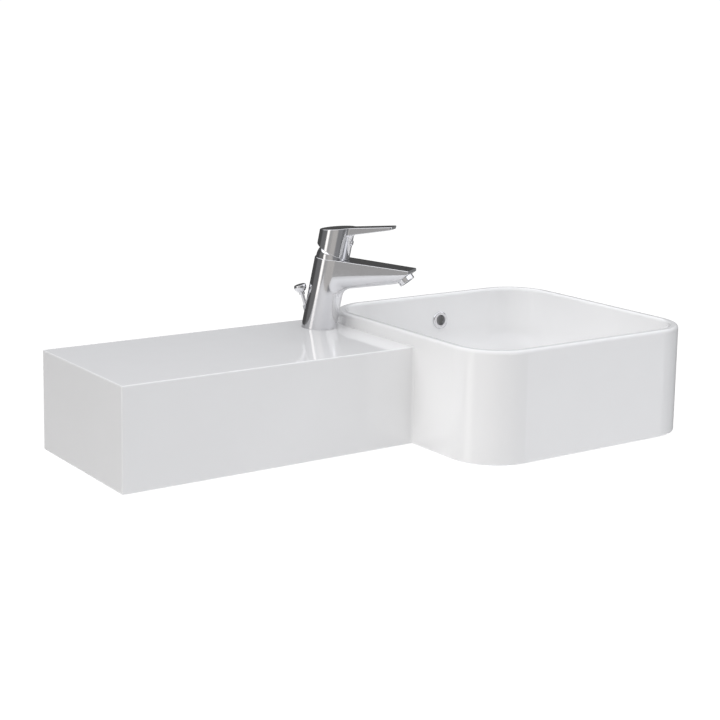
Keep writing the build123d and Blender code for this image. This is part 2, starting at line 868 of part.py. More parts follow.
def rod_clamp():
    """Clamp on the rod's lower end with the cross hole for the pivot rod."""
    low = link_up_rod - clamp_below
    high = link_up_rod + clamp_above
    body = block(-clamp_thickness / 2, clamp_thickness / 2, -clamp_width / 2, clamp_width / 2, low, high)
    rod_hole = column(rod_radius, link_up_rod + clamp_rod_stop, high + OVER)
    cross = Pos(0, 0, link_up_rod) * Rot(0, 90 + rod_tilt, 0) * Cylinder(clamp_hole, 4 * clamp_thickness)
    screws = [s * column(clamp_screw_radius, 0, clamp_width) for s in clamp_screw_places()]
    return body - rod_hole - cross - screws


def clamp_screw_places():
    """Frames of the two clamp screws, pointing out of the clamp's side."""
    first = link_up_rod + clamp_rod_stop + clamp_screw_first
    return [
        Pos(0, 0, first + index * clamp_screw_pitch) * Rot(-90, 0, 0) * Pos(0, 0, rod_radius)
        for index in (0, 1)
    ]


def clamp_screws():
    """Two thumb screws that hold the rod in the clamp."""
    grip = clamp_width / 2 - rod_radius
    screw = column(clamp_screw_radius, 0, grip + clamp_screw_tip)
    screw = screw + column(clamp_screw_head, grip, grip + clamp_screw_head_height)
    return [place * screw for place in clamp_screw_places()]


# Pop-up waste: heights above the underside, about the drain
def waste_flange():
    """Chrome flange with its threaded tube and overflow slots."""
    seat = floor_height - flange_recess_depth + flange_seal_thickness
    top = seat + flange_thickness
    disc = column(flange_radius, seat, top)
    disc = fillet(disc.edges().group_by(Axis.Z)[-1], flange_edge_round)
    tube = column(waste_tube_radius, waste_tube_end, seat + flange_thickness / 2)
    funnel = Pos(0, 0, top - seat_depth) * Cone(waste_bore, seat_radius, seat_depth, align=BASE)
    whole = disc + tube - column(waste_bore, waste_tube_end - OVER, top + OVER) - funnel
    slot_low = drain_boss_height + duct_wall
    slot = block(
        waste_bore - OVER, waste_tube_radius + OVER, -waste_slot_width / 2, waste_slot_width / 2,
        slot_low, slot_low + waste_slot_height,
    )
    return whole - [Rot(0, 0, 45 + 90 * index) * slot for index in range(4)]


def flange_seal():
    """Rubber ring under the flange."""
    seat = floor_height - flange_recess_depth
    return ring(flange_radius - flange_gap, drain_hole / 2 + flange_gap, seat, seat + flange_seal_thickness)


seal_bottom = drain_boss_height - lower_seal_thickness
friction_bottom = seal_bottom - friction_washer_thickness
lock_bottom = friction_bottom - lock_nut_height


def lower_seal():
    """Rubber seal under the ceramic boss."""
    return ring(lower_seal_radius, waste_tube_radius + thread_gap, seal_bottom, drain_boss_height)


def friction_washer():
    """Slip washer between the seal and the lock nut."""
    return ring(friction_washer_radius, waste_tube_radius + thread_gap, friction_bottom, seal_bottom)


def lock_nut():
    """Large nut that pulls the waste down on the ceramic."""
    core = lock_nut_radius - wing_height
    half = wing_width / 2
    nut = column(core, lock_bottom, friction_bottom)
    wing = block(core - wing_root, lock_nut_radius, -half, half, lock_bottom, friction_bottom)
    for index in range(lock_nut_wings):
        nut = nut + Rot(0, 0, index * 360 / lock_nut_wings) * wing
    return nut - column(waste_tube_radius, lock_bottom - OVER, friction_bottom + OVER)


def waste_body():
    """Lower body of the waste with the side port for the pivot rod."""
    top = lock_bottom
    step = waste_tube_end - waste_shoulder
    body = column(waste_body_radius, step, top) + column(waste_body_waist, waste_body_bottom, step)
    to_port = Rot(0, 0, 180 - link_turn) * Pos(0, 0, -pivot_drop) * Rot(0, 90, 0)
    body = body + to_port * column(port_outer_radius, 0, port_reach)
    body = body - column(waste_tube_radius, waste_tube_end, top + OVER)
    body = body - column(waste_bore, waste_body_bottom + tail_grip, waste_tube_end + OVER)
    body = body - column(tail_grip_radius, waste_body_bottom - OVER, waste_body_bottom + tail_grip)
    body = body - to_port * column(port_inner_bore, 0, port_reach + OVER)
    return body - to_port * column(port_bore, pivot_distance - ball_back_room, port_reach + OVER)


def tailpiece():
    """Outlet tube for the trap."""
    tube = column(tail_radius, tail_end, waste_body_bottom)
    tube = tube + column(tail_grip_radius, waste_body_bottom - OVER, waste_body_bottom + tail_grip)
    return tube - column(tail_radius - tail_wall, tail_end - OVER, waste_body_bottom + tail_grip + OVER)


def plug_rise():
    """Height of the pivot rod's inner tip above the pivot at rest, at the drain's axis."""
    return pivot_distance * math.tan(math.radians(rest_swing))


def plug_bottom():
    """Underside of the raised plug at rest."""
    flange_top = floor_height - flange_recess_depth + flange_seal_thickness + flange_thickness
    seated = flange_top - plug_seat_drop
    return seated + plug_travel


def plug():
    """Chrome plug: a shallow dome disc."""
    low = plug_bottom()
    disc = column(plug_radius, low, low + plug_thickness)
    dome_size = (plug_radius**2 + plug_crown**2) / (2 * plug_crown)
    crown = Pos(0, 0, low + plug_thickness + plug_crown - dome_size) * Sphere(dome_size)
    crown = crown & column(plug_radius, low + plug_thickness / 2, low + plug_thickness + 2 * plug_crown)
    return disc + crown


def plug_seal():
    """Rubber ring under the plug."""
    low = plug_bottom() - plug_seal_thickness
    return ring(waste_bore - plug_seal_gap, plug_stem_radius + plug_collar, low, plug_bottom())


def plug_stem():
    """Stem with guide fins and the eye for the pivot rod's tip."""
    low = -pivot_drop + plug_rise() - plug_eye_below
    high = plug_bottom()
    fins_top = high - plug_seal_thickness
    stem = column(plug_stem_radius, low, high) + column(plug_stem_radius + plug_collar, fins_top, high)
    fins = block(-fin_radius, fin_radius, -fin_thickness / 2, fin_thickness / 2, fin_bottom, fins_top)
    stem = stem + fins + Rot(0, 0, 90) * fins
    to_link = Rot(0, 0, 180 - link_turn)
    eye = to_link * Pos(0, 0, -pivot_drop + plug_rise()) * Rot(0, 90, 0) * Cylinder(plug_eye, FAR)
    return Rot(0, 0, -link_turn) * stem - eye


# Pivot rod, in the port's frame with X towards the tap
def pivot_rod():
    """Rod with the ball, tilted to its rest angle."""
    outer = outer_arm / math.cos(math.radians(rest_swing)) + pivot_rod_overrun
    rod = Rot(0, 90, 0) * column(rod_radius, -pivot_distance - pivot_rod_tail, outer)
    whole = rod + Sphere(ball_radius)
    return Pos(pivot_distance, 0, 0) * Rot(0, rest_swing, 0) * whole


def pivot_seal():
    """Nylon socket round the ball."""
    start = pivot_distance - ball_back_room
    sleeve = Rot(0, 90, 0) * column(port_bore, start, port_reach)
    ball = Pos(pivot_distance, 0, 0) * Sphere(ball_radius + seal_gap)
    way = Rot(0, 90, 0) * column(port_inner_bore, start - OVER, port_reach + OVER)
    return sleeve - ball - way


def pivot_nut():
    """Cap nut over the port."""
    start = port_reach + pivot_nut_end_wall - pivot_nut_length
    place = Rot(0, 90, 0)
    nut = place * column(pivot_nut_radius, start, start + pivot_nut_length)
    half = rib_width / 2
    rib = block(
        start, start + pivot_nut_length, pivot_nut_radius - rib_root, pivot_nut_radius + rib_height,
        -half, half,
    )
    nut = nut + [Rot(360 / pivot_nut_ribs * index, 0, 0) * rib for index in range(pivot_nut_ribs)]
    nut = nut - place * column(port_outer_radius, start - OVER, port_reach)
    return nut - place * column(pivot_nut_hole, start, start + pivot_nut_length + OVER)


def rod_clip():
    """Spring clip on the pivot rod beyond the clamp."""
    reach = outer_arm / math.cos(math.radians(rest_swing)) + lift_shift + clip_gap
    half = clip_size / 2
    far_plate = reach + clip_depth
    plates = block(reach, reach + clip_plate, -half, half, -half, half)
    plates += block(far_plate, far_plate + clip_plate, -half, half, -half, half)
    bridge = block(reach, far_plate + clip_plate, -half, half, -half - clip_plate, -half)
    hole = Rot(0, 90, 0) * column(rod_radius, reach - OVER, far_plate + clip_plate + OVER)
    return Pos(pivot_distance, 0, 0) * Rot(0, rest_swing, 0) * (plates + bridge - hole)


def write_parts():
    """Build every sub-part in its place and write it."""
    os.makedirs("parts", exist_ok=True)
    body = tap_body() - water_ways() - tap_rod_cuts() - base_ring()
    save("basin", basin())
    save("overflow_ring", overflow_ring())
    save("tap_body", tap_frame * body)
    on_axis = {
        "cartridge_base_seal": cartridge_base_seal,
        "cartridge_housing": cartridge_housing,
        "fixed_disc": fixed_disc,
        "moving_disc": moving_disc,
        "cartridge_rotor": cartridge_rotor,
        "cartridge_pin": cartridge_pin,
        "cartridge_stem": cartridge_stem,
        "cartridge_nut": cartridge_nut,
        "dome_collar": dome_collar,
        "handle": handle,
        "handle_screw": handle_screw,
        "screw_plug": screw_plug,
    }
    for name, make in on_axis.items():
        save(name, axis_frame * make())
    spout_end = tap_frame * aerator_frame()
    for name, make in {
        "aerator_housing": aerator_housing, "aerator_insert": aerator_insert, "aerator_seal": aerator_seal
    }.items():
        save(name, spout_end * make())
    save("tap_base_ring", tap_frame * base_ring())
    save("deck_gasket", link_frame * horseshoe(gasket_radius, gasket_bottom, gasket_top))
    save("horseshoe_washer", link_frame * horseshoe(gasket_radius, washer_bottom, gasket_bottom))
    save("mounting_studs", Compound(children=[link_frame * s for s in mounting_studs()]))
    save("mounting_nuts", Compound(children=[link_frame * n for n in mounting_nuts()]))
    for name, make in {
        "lift_rod": lift_rod, "lift_knob": lift_knob, "rod_bush": rod_bush, "rod_clamp": rod_clamp
    }.items():
        save(name, rod_frame * make())
    save("clamp_screws", Compound(children=[rod_frame * s for s in clamp_screws()]))
    for make in (
        waste_flange, flange_seal, lower_seal, friction_washer, lock_nut, waste_body, tailpiece,
        plug, plug_seal, plug_stem,
    ):
        save(make.__name__, drain_frame * make())
    for make in (pivot_rod, pivot_seal, pivot_nut, rod_clip):
        save(make.__name__, port_frame * make())
    print(f"pivot rod swing {swing_range:.4f} degrees, plug travel {plug_travel:.4f} mm")


if __name__ == "__main__":
    write_parts()
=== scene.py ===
"""Wall-hung basin dressed for its picture: glaze, polished metal, the studio and the camera.

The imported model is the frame. The ceramic and the small fittings keep their own surfaces and get
their finishes here. The tap body, the lever handle and the lift knob get finer surfaces with
softened edges, worked out from their own sizes in millimetres.
"""

import json
import logging
import math
from dataclasses import dataclass, field
from enum import Enum
from typing import Callable, Sequence
import bpy
import numpy as np
from mathutils import Matrix, Vector


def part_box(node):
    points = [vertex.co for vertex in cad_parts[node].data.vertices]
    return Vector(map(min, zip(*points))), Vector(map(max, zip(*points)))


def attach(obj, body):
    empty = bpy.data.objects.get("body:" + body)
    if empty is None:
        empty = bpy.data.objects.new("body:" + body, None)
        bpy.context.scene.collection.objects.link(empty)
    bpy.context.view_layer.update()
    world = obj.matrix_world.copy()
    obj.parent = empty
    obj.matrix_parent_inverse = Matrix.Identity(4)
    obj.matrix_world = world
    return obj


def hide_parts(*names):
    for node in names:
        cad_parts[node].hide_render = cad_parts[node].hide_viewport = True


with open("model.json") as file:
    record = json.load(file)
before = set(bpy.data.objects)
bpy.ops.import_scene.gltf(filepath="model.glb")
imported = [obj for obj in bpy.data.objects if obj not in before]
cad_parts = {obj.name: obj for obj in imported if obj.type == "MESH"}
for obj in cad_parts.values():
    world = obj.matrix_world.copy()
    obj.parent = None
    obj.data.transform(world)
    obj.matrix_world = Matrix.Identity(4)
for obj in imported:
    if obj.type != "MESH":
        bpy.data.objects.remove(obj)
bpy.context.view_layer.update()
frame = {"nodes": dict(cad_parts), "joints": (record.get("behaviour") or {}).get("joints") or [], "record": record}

Array = np.ndarray
Distance = Callable[[Array], Array]

LOG = logging.getLogger("basin")
MM = 0.001
PIVOT_HEIGHT = 107.0
PROBE = 0.01


# Small vector work


def unit(vector: Array) -> Array:
    """The vector at length one, along its last axis."""
    return vector / np.linalg.norm(vector, axis=-1, keepdims=True)


def smooth_step(low: float, high: float, value: Array) -> Array:
    """Nought below low, one above high, with an even S between."""
    share = np.clip((value - low) / (high - low), 0, 1)
    return share * share * (3 - 2 * share)


@dataclass(frozen=True)
class Place:
    """A right-handed frame in the row frame.

    Attributes:
        origin: where it stands, in metres.
        axes: its unit X, Y and Z as three rows.
    """

    origin: Array
    axes: Array

    def out(self, points: Array) -> Array:
        """Local millimetres to metres of the row frame."""
        return self.origin + MM * points @ self.axes

    def turned(self, directions: Array) -> Array:
        """Local directions to directions of the row frame."""
        return directions @ self.axes


def joint_named(name: str) -> dict:
    """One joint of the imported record."""
    return next(joint for joint in frame["joints"] if joint["name"] == name)


def lever_axis_place(pivot_height: float) -> Place:
    """The leaning axis of the tap: Z up the axis, Y along the lever's tilt pin, foot on the deck.

    Args:
        pivot_height: height of the tilt pin up the axis, in millimetres.

    Returns:
        The frame, with X towards the lever's tip.
    """
    swivel = joint_named("lever_swivel")
    up = unit(np.array(swivel["axis"], float))
    across = -unit(np.array(joint_named("lever_tilt")["axis"], float))
    axes = np.array([np.cross(across, up), across, up])
    return Place(np.array(swivel["pos_m"], float) - MM * pivot_height * up, axes)


def upright(place: Place) -> Place:
    """The frame turned about its Y until its Z is vertical."""
    across = place.axes[1]
    up = np.array([0.0, 0.0, 1.0])
    return Place(place.origin, np.array([np.cross(across, up), across, up]))


# Distances: below nought inside, in millimetres


def rounded_cut(first: Array, second: Array, radius: Array | float) -> Array:
    """The part inside both forms, its edge rounded: the corner of the two distances is a circle."""
    corner = np.hypot(np.maximum(radius + first, 0), np.maximum(radius + second, 0))
    return np.minimum(-radius, np.maximum(first, second)) + corner


def rounded_join(first: Array, second: Array, radius: Array | float) -> Array:
    """The two forms together, with a fillet where they meet: the inner corner is a circle."""
    corner = np.hypot(np.maximum(radius - first, 0), np.maximum(radius - second, 0))
    return np.maximum(radius, np.minimum(first, second)) - corner


def gradient(distance: Distance, points: Array) -> Array:
    """Unit outward direction of a distance, by small differences along each axis."""
    step = PROBE * np.eye(3)
    slopes = [distance(points + axis) - distance(points - axis) for axis in step]
    return unit(np.stack(slopes, axis=-1) + 1e-12)


# Surfaces on grids


@dataclass
class Surface:
    """A closed mesh: points in local millimetres, faces, and an outward direction at each point."""

    points: Array
    normals: Array
    faces: list[Array]


def tube_faces(rows: int, columns: int) -> Array:
    """Quads of a grid of rows that closes on itself along its columns."""
    index = np.arange(rows * columns).reshape(rows, columns)
    beside = np.roll(index, -1, axis=1)
    corners = [index[:-1], beside[:-1], beside[1:], index[1:]]
    return np.stack(corners, axis=-1).reshape(-1, 4)


def capped_tube(grid: Array, normals: Array, ends: tuple[Array, Array]) -> Surface:
    """A tube of closed rings with a middle point over each end.

    Args:
        grid: rows of rings, (rows, columns, 3).
        normals: outward directions of the same shape.
        ends: outward directions of the first and the last cap.

    Returns:
        The closed surface, its faces pointing outwards.
    """
    rows, columns = grid.shape[:2]
    quads = tube_faces(rows, columns)
    first, last = rows * columns, rows * columns + 1
    ring = np.arange(columns)
    beside = np.roll(ring, -1)
    far_ring, far_beside = ring + (rows - 1) * columns, beside + (rows - 1) * columns
    near_cap = np.stack([beside, ring, np.full(columns, first)], axis=-1)
    far_cap = np.stack([far_ring, far_beside, np.full(columns, last)], axis=-1)
    points = np.vstack([grid.reshape(-1, 3), grid[0].mean(0), grid[-1].mean(0)])
    outward = np.vstack([normals.reshape(-1, 3), *ends])
    a, b, c = points[quads[:, 0]], points[quads[:, 1]], points[quads[:, 2]]
    turn = np.einsum("ij,ij->i", np.cross(b - a, c - b), outward[quads[:, 0]])
    faces = [quads, near_cap, far_cap]
    if turn.sum() < 0:
        faces = [part[:, ::-1] for part in faces]
    return Surface(points, outward, faces)


def even_steps(values: Array, travel: Array, count: int) -> Array:
    """Values at equal steps of a growing measure.

    Args:
        values: samples of a parameter, in order.
        travel: the measure added between one sample and the next.
        count: how many values to return.

    Returns:
        The parameter at count even steps from the first sample to the last.
    """
    total = np.concatenate([[0], np.cumsum(travel)])
    return np.interp(np.linspace(0, total[-1], count), total, values)


@dataclass(frozen=True)
class Leg:
    """One stretch of a bent path: half planes that turn about a pivot or step along a line.

    Attributes:
        start: the foot of the first plane's line, (x, z).
        end: the foot of the last one's.
        angles: direction of the line at both, in degrees up from +X in the XZ plane.
        reach: how far along the line to look for the form.
    """

    start: tuple[float, float]
    end: tuple[float, float]
    angles: tuple[float, float]
    reach: tuple[float, float]


@dataclass(frozen=True)
class Skin:
    """A surface on a grid of two parameters: places along a bent path and turns about it.

    At each place a plane stands across the path, and rays leave the middle of the form in that
    plane. Each ray ends where the distance is nought, found by halving. Places and rays are then
    spaced anew, closer where the surface bends.

    Attributes:
        distance: the form.
        legs: the path's stretches.
        places: how many rings.
        turns: how many points on a ring.
        bend: millimetres of travel that one radian of bending counts for.
        halvings: how often the span of a ray is halved.
        ray_reach: length of a ray.
        line_samples: samples on a plane's line that find its middle.
        trial_places: rings of the first, even grid.
        trial_turns: points on each of its rings.
        fine_turns: trial rays for each point kept on a ring.
    """

    distance: Distance
    legs: tuple[Leg, ...]
    places: int = 240
    turns: int = 176
    bend: float = 9.0
    halvings: int = 26
    ray_reach: float = 90.0
    line_samples: int = 1200
    trial_places: int = 640
    trial_turns: int = 48
    fine_turns: int = 6

    def stations(self, along: Array) -> tuple[Array, Array]:
        """Middle and line direction at places along the path, from 0 to the number of legs.

        The middle is the mean of the samples inside the form on the plane's line at Y nought.
        """
        leg = np.minimum(along.astype(int), len(self.legs) - 1)
        share = (along - leg)[:, None]
        starts = np.array([(*item.start, *item.angles[:1], *item.reach) for item in self.legs], float)
        ends = np.array([(*item.end, *item.angles[1:], *item.reach) for item in self.legs], float)
        now = starts[leg] * (1 - share) + ends[leg] * share
        angle = np.radians(now[:, 2])
        line = np.stack([np.cos(angle), np.zeros_like(angle), np.sin(angle)], axis=-1)
        foot = np.stack([now[:, 0], np.zeros_like(angle), now[:, 1]], axis=-1)
        steps = now[:, 3:4] + (now[:, 4:5] - now[:, 3:4]) * np.linspace(0, 1, self.line_samples)
        samples = foot[:, None] + steps[..., None] * line[:, None]
        inside = self.distance(samples) < 0
        middle = (steps * inside).sum(1) / np.maximum(inside.sum(1), 1)
        return foot + middle[:, None] * line, line

    def rays(self, centre: Array, line: Array, turn: Array) -> Array:
        """Surface points where rays at the given turns leave the form."""
        across = np.array([0.0, 1.0, 0.0])
        ray = np.cos(turn)[..., None] * line[:, None] + np.sin(turn)[..., None] * across
        low = np.zeros(turn.shape)
        high = np.full(turn.shape, self.ray_reach)
        for _ in range(self.halvings):
            middle = (low + high) / 2
            inside = self.distance(centre[:, None] + middle[..., None] * ray) < 0
            low = np.where(inside, middle, low)
            high = np.where(inside, high, middle)
        return centre[:, None] + low[..., None] * ray

    def travel(self, points: Array, axis: int) -> Array:
        """Length plus weighted bending from each point to the next along a grid's axis."""
        normals = gradient(self.distance, points)
        length = np.linalg.norm(np.diff(points, axis=axis), axis=-1)
        bending = np.linalg.norm(np.diff(normals, axis=axis), axis=-1)
        return length + self.bend * bending

    def build(self) -> Surface:
        """The spaced grid, capped at both ends."""
        along = np.linspace(0, len(self.legs), self.trial_places)
        trial = np.tile(np.linspace(0, math.tau, self.trial_turns, endpoint=False), (len(along), 1))
        grid = self.rays(*self.stations(along), trial)
        step = self.travel(grid, 0)
        along = even_steps(along, step.mean(1) + step.max(1) / 2, self.places)
        centre, line = self.stations(along)
        fine = np.tile(np.linspace(0, math.tau, self.fine_turns * self.turns), (self.places, 1))
        step = self.travel(self.rays(centre, line, fine), 1)
        turn = np.stack([even_steps(row, part, self.turns + 1)[:-1] for row, part in zip(fine, step)])
        grid = self.rays(centre, line, turn)
        ends = tuple(
            gradient(self.distance, point[None])[0] for point in (grid[0].mean(0), grid[-1].mean(0))
        )
        return capped_tube(grid, gradient(self.distance, grid), ends)


def arc_outline(corners: Sequence[tuple[float, float, float]], steps: int = 7) -> tuple[Array, Array]:
    """A profile with rounded corners.

    Args:
        corners: (radius from the axis, height, rounding) of each corner, from one end to the other;
            the rounding of the two ends isn't used.
        steps: points on each rounded corner.

    Returns:
        The profile's points and its directions to the left of travel, both (n, 2).
    """
    spots = np.array([corner[:2] for corner in corners], float)
    points, normals = [], []
    for index, corner in enumerate(corners):
        here = spots[index]
        before = unit(here - spots[index - 1]) if index else unit(spots[1] - here)
        after = unit(spots[index + 1] - here) if index < len(spots) - 1 else before
        left = np.stack([[-before[1], before[0]], [-after[1], after[0]]])
        cosine = float(np.clip(before @ after, -1, 1))
        if corner[2] <= 0 or cosine > 1 - 1e-9:
            points += [here, here]
            normals += list(left)
            continue
        turn = math.acos(cosine)
        reach = corner[2] * math.tan(turn / 2)
        side = math.copysign(1.0, before[0] * after[1] - before[1] * after[0])
        centre = here - reach * before + side * corner[2] * left[0]
        share = np.linspace(0, 1, steps)[:, None]
        swept = (np.sin((1 - share) * turn) * left[0] + np.sin(share * turn) * left[1]) / math.sin(turn)
        points += list(centre - side * corner[2] * swept)
        normals += list(swept)
    return np.array(points), np.array(normals)


def turned_surface(outline: tuple[Array, Array], turns: int = 96) -> Surface:
    """A surface of revolution about Z: each profile point (r, h) goes to (r cos t, r sin t, h).

    Args:
        outline: the profile's points and its directions to the left of travel.
        turns: how many copies of the profile stand round the axis.

    Returns:
        The closed surface. An upright profile comes out inside out.
    """
    profile, left = outline
    turn = np.linspace(0, math.tau, turns, endpoint=False)
    around = np.stack([np.cos(turn), np.sin(turn)], axis=-1)

    def spin(pairs: Array) -> Array:
        """Pairs (r, h) carried round the axis."""
        flat = pairs[:, None, :1] * around[None]
        height = np.broadcast_to(pairs[:, None, 1:], flat.shape[:2] + (1,))
        return np.concatenate([flat, height], axis=-1)

    outward = spin(left)
    middle = profile.mean(0)
    if ((profile - middle) * left).sum() < 0:
        outward = -outward
    up = np.array([0.0, 0.0, 1.0])
    rising = 1.0 if profile[-1, 1] > profile[0, 1] else -1.0
    return capped_tube(spin(profile), outward, (-rising * up, rising * up))


# Pieces: meshes in the row frame


def piece_mesh(name: str, surface: Surface, place: Place) -> bpy.types.Object:
    """A mesh object at the origin, its place in its vertices and its shading from the surface."""
    mesh = bpy.data.meshes.new(name)
    faces = [face.tolist() for part in surface.faces for face in part]
    mesh.from_pydata(place.out(surface.points).tolist(), [], faces)
    mesh.shade_smooth()
    mesh.normals_split_custom_set_from_vertices(place.turned(surface.normals).tolist())
    mesh.update()
    piece = bpy.data.objects.new(name, mesh)
    bpy.context.scene.collection.objects.link(piece)
    return piece


@dataclass(frozen=True)
class Hollow:
    """A form to be cut away: its closed surface and its distance."""

    surface: Surface
    distance: Distance


def carve(piece: bpy.types.Object, place: Place, whole: Distance, hollows: Sequence[Hollow]) -> None:
    """Cut hollows out of a piece and give every corner the direction of the form it lies on.

    Args:
        piece: the piece, changed in place.
        place: the frame of the distances.
        whole: distance of the piece before the cuts.
        hollows: the forms to cut away.
    """
    for index, hollow in enumerate(hollows):
        cutter = piece_mesh(f"{piece.name}_cutter_{index}", hollow.surface, place)
        cut = piece.modifiers.new("cut", "BOOLEAN")
        cut.operation = "DIFFERENCE"
        cut.solver = "EXACT"
        cut.object = cutter
        bpy.context.view_layer.update()
        graph = bpy.context.evaluated_depsgraph_get()
        carved = bpy.data.meshes.new_from_object(piece.evaluated_get(graph))
        piece.modifiers.clear()
        spent = piece.data
        piece.data = carved
        bpy.data.meshes.remove(spent)
        spare = cutter.data
        bpy.data.objects.remove(cutter)
        bpy.data.meshes.remove(spare)
    mesh = piece.data
    mesh.name = piece.name
    corners = len(mesh.loops)
    points = np.zeros(len(mesh.vertices) * 3)
    mesh.vertices.foreach_get("co", points)
    local = (points.reshape(-1, 3) - place.origin) @ place.axes.T / MM
    centres = np.zeros(len(mesh.polygons) * 3)
    mesh.polygons.foreach_get("center", centres)
    middle = (centres.reshape(-1, 3) - place.origin) @ place.axes.T / MM
    forms = [whole] + [hollow.distance for hollow in hollows]
    nearest = np.argmin(np.stack([np.abs(form(middle)) for form in forms]), axis=0)
    vertex = np.zeros(corners, int)
    mesh.loops.foreach_get("vertex_index", vertex)
    sizes = np.zeros(len(mesh.polygons), int)
    mesh.polygons.foreach_get("loop_total", sizes)
    owner = np.repeat(nearest, sizes)
    at_corner = local[vertex]
    normals = np.zeros((corners, 3))
    for index, form in enumerate(forms):
        mine = owner == index
        normals[mine] = gradient(form, at_corner[mine]) * (1 if index == 0 else -1)
    mesh.shade_smooth()
    mesh.normals_split_custom_set(place.turned(normals).tolist())
    mesh.update()


# Finishes


class NodeSet:
    """A material's or the world's node tree with short calls to add to it."""

    def __init__(self, tree: bpy.types.NodeTree) -> None:
        """Start from an empty tree."""
        self.tree = tree
        tree.nodes.clear()

    def add(self, kind: str, **values: object) -> bpy.types.Node:
        """A node of a kind with its own settings."""
        node = self.tree.nodes.new(kind)
        for name, value in values.items():
            setattr(node, name, value)
        return node

    def link(self, source: bpy.types.NodeSocket, target: bpy.types.NodeSocket) -> None:
        """Join two sockets."""
        self.tree.links.new(source, target)

    def feed(self, target: bpy.types.NodeSocket, value: object) -> None:
        """Give a socket a value, or join it to another socket."""
        if isinstance(value, bpy.types.NodeSocket):
            self.link(value, target)
        else:
            target.default_value = value

    def math(self, operation: str, *inputs: object) -> bpy.types.NodeSocket:
        """A math node fed by numbers or sockets."""
        node = self.add("ShaderNodeMath", operation=operation)
        for socket, value in zip(node.inputs, inputs):
            self.feed(socket, value)
        return node.outputs[0]

    def noise(self, scale: float, detail: float = 3.0, roughness: float = 0.5) -> bpy.types.NodeSocket:
        """Noise on Object coordinates; scale is per metre."""
        place = self.add("ShaderNodeTexCoord")
        noise = self.add("ShaderNodeTexNoise")
        noise.inputs["Scale"].default_value = scale
        noise.inputs["Detail"].default_value = detail
        noise.inputs["Roughness"].default_value = roughness
        self.link(place.outputs["Object"], noise.inputs["Vector"])
        return noise.outputs["Fac"]

    def spread(self, source: bpy.types.NodeSocket, low: float, high: float) -> bpy.types.NodeSocket:
        """A noise value carried to a range; the middle of the noise, 0.3 to 0.7, fills it."""
        node = self.add("ShaderNodeMapRange", interpolation_type="SMOOTHSTEP")
        self.link(source, node.inputs["Value"])
        node.inputs["From Min"].default_value = 0.3
        node.inputs["From Max"].default_value = 0.7
        node.inputs["To Min"].default_value = low
        node.inputs["To Max"].default_value = high
        return node.outputs["Result"]

    def blend(self, share: bpy.types.NodeSocket, first: object, second: object) -> bpy.types.NodeSocket:
        """A colour between two, by a share; each is a socket or a linear colour with its alpha."""
        node = self.add("ShaderNodeMix", data_type="RGBA")
        self.link(share, node.inputs["Factor"])
        colours = [socket for socket in node.inputs if socket.type == "RGBA"]
        for socket, value in zip(colours, (first, second)):
            self.feed(socket, value)
        return next(socket for socket in node.outputs if socket.type == "RGBA")

    def bump(self, height: bpy.types.NodeSocket, depth: float, strength: float = 1.0) -> bpy.types.NodeSocket:
        """A bump of a depth in metres."""
        node = self.add("ShaderNodeBump")
        node.inputs["Strength"].default_value = strength
        node.inputs["Distance"].default_value = depth
        self.link(height, node.inputs["Height"])
        return node.outputs["Normal"]


@dataclass(frozen=True)
class Finish:
    """A finish with a fine unevenness of colour, gloss and relief.

    Attributes:
        name: the material's name.
        colour: linear base colour.
        drift: how far the colour darkens in its patches, as a share.
        patch: patches of colour per metre.
        rough: least and greatest roughness.
        grain: relief features per metre.
        relief: depth of the relief, in metres.
        metallic: 1 for metal.
        specular: strength of the mirror part of a finish that isn't metal.
        gloss_patches: patches of gloss for each patch of colour.
    """

    name: str
    colour: tuple[float, float, float]
    drift: float = 0.03
    patch: float = 40.0
    rough: tuple[float, float] = (0.4, 0.5)
    grain: float = 900.0
    relief: float = 0.00002
    metallic: float = 0.0
    specular: float = 0.5
    gloss_patches: float = 2.3

    def build(self) -> bpy.types.Material:
        """The material."""
        material = bpy.data.materials.new(self.name)
        material.use_nodes = True
        nodes = NodeSet(material.node_tree)
        shader = self.shader(nodes)
        out = nodes.add("ShaderNodeOutputMaterial")
        nodes.link(shader.outputs["BSDF"], out.inputs["Surface"])
        material.diffuse_color = (*self.colour, 1.0)
        return material

    def shader(self, nodes: NodeSet) -> bpy.types.Node:
        """The surface shader with its patches, gloss and relief."""
        shader = nodes.add("ShaderNodeBsdfPrincipled")
        shader.inputs["Metallic"].default_value = self.metallic
        shader.inputs["Specular IOR Level"].default_value = self.specular
        patches = nodes.spread(nodes.noise(self.patch), 0.0, 1.0)
        darker = (channel * (1 - self.drift) for channel in self.colour)
        nodes.link(nodes.blend(patches, (*self.colour, 1.0), (*darker, 1.0)), shader.inputs["Base Color"])
        gloss = nodes.spread(nodes.noise(self.patch * self.gloss_patches, 5.0), *self.rough)
        nodes.link(gloss, shader.inputs["Roughness"])
        nodes.link(nodes.bump(nodes.noise(self.grain), self.relief), shader.inputs["Normal"])
        return shader


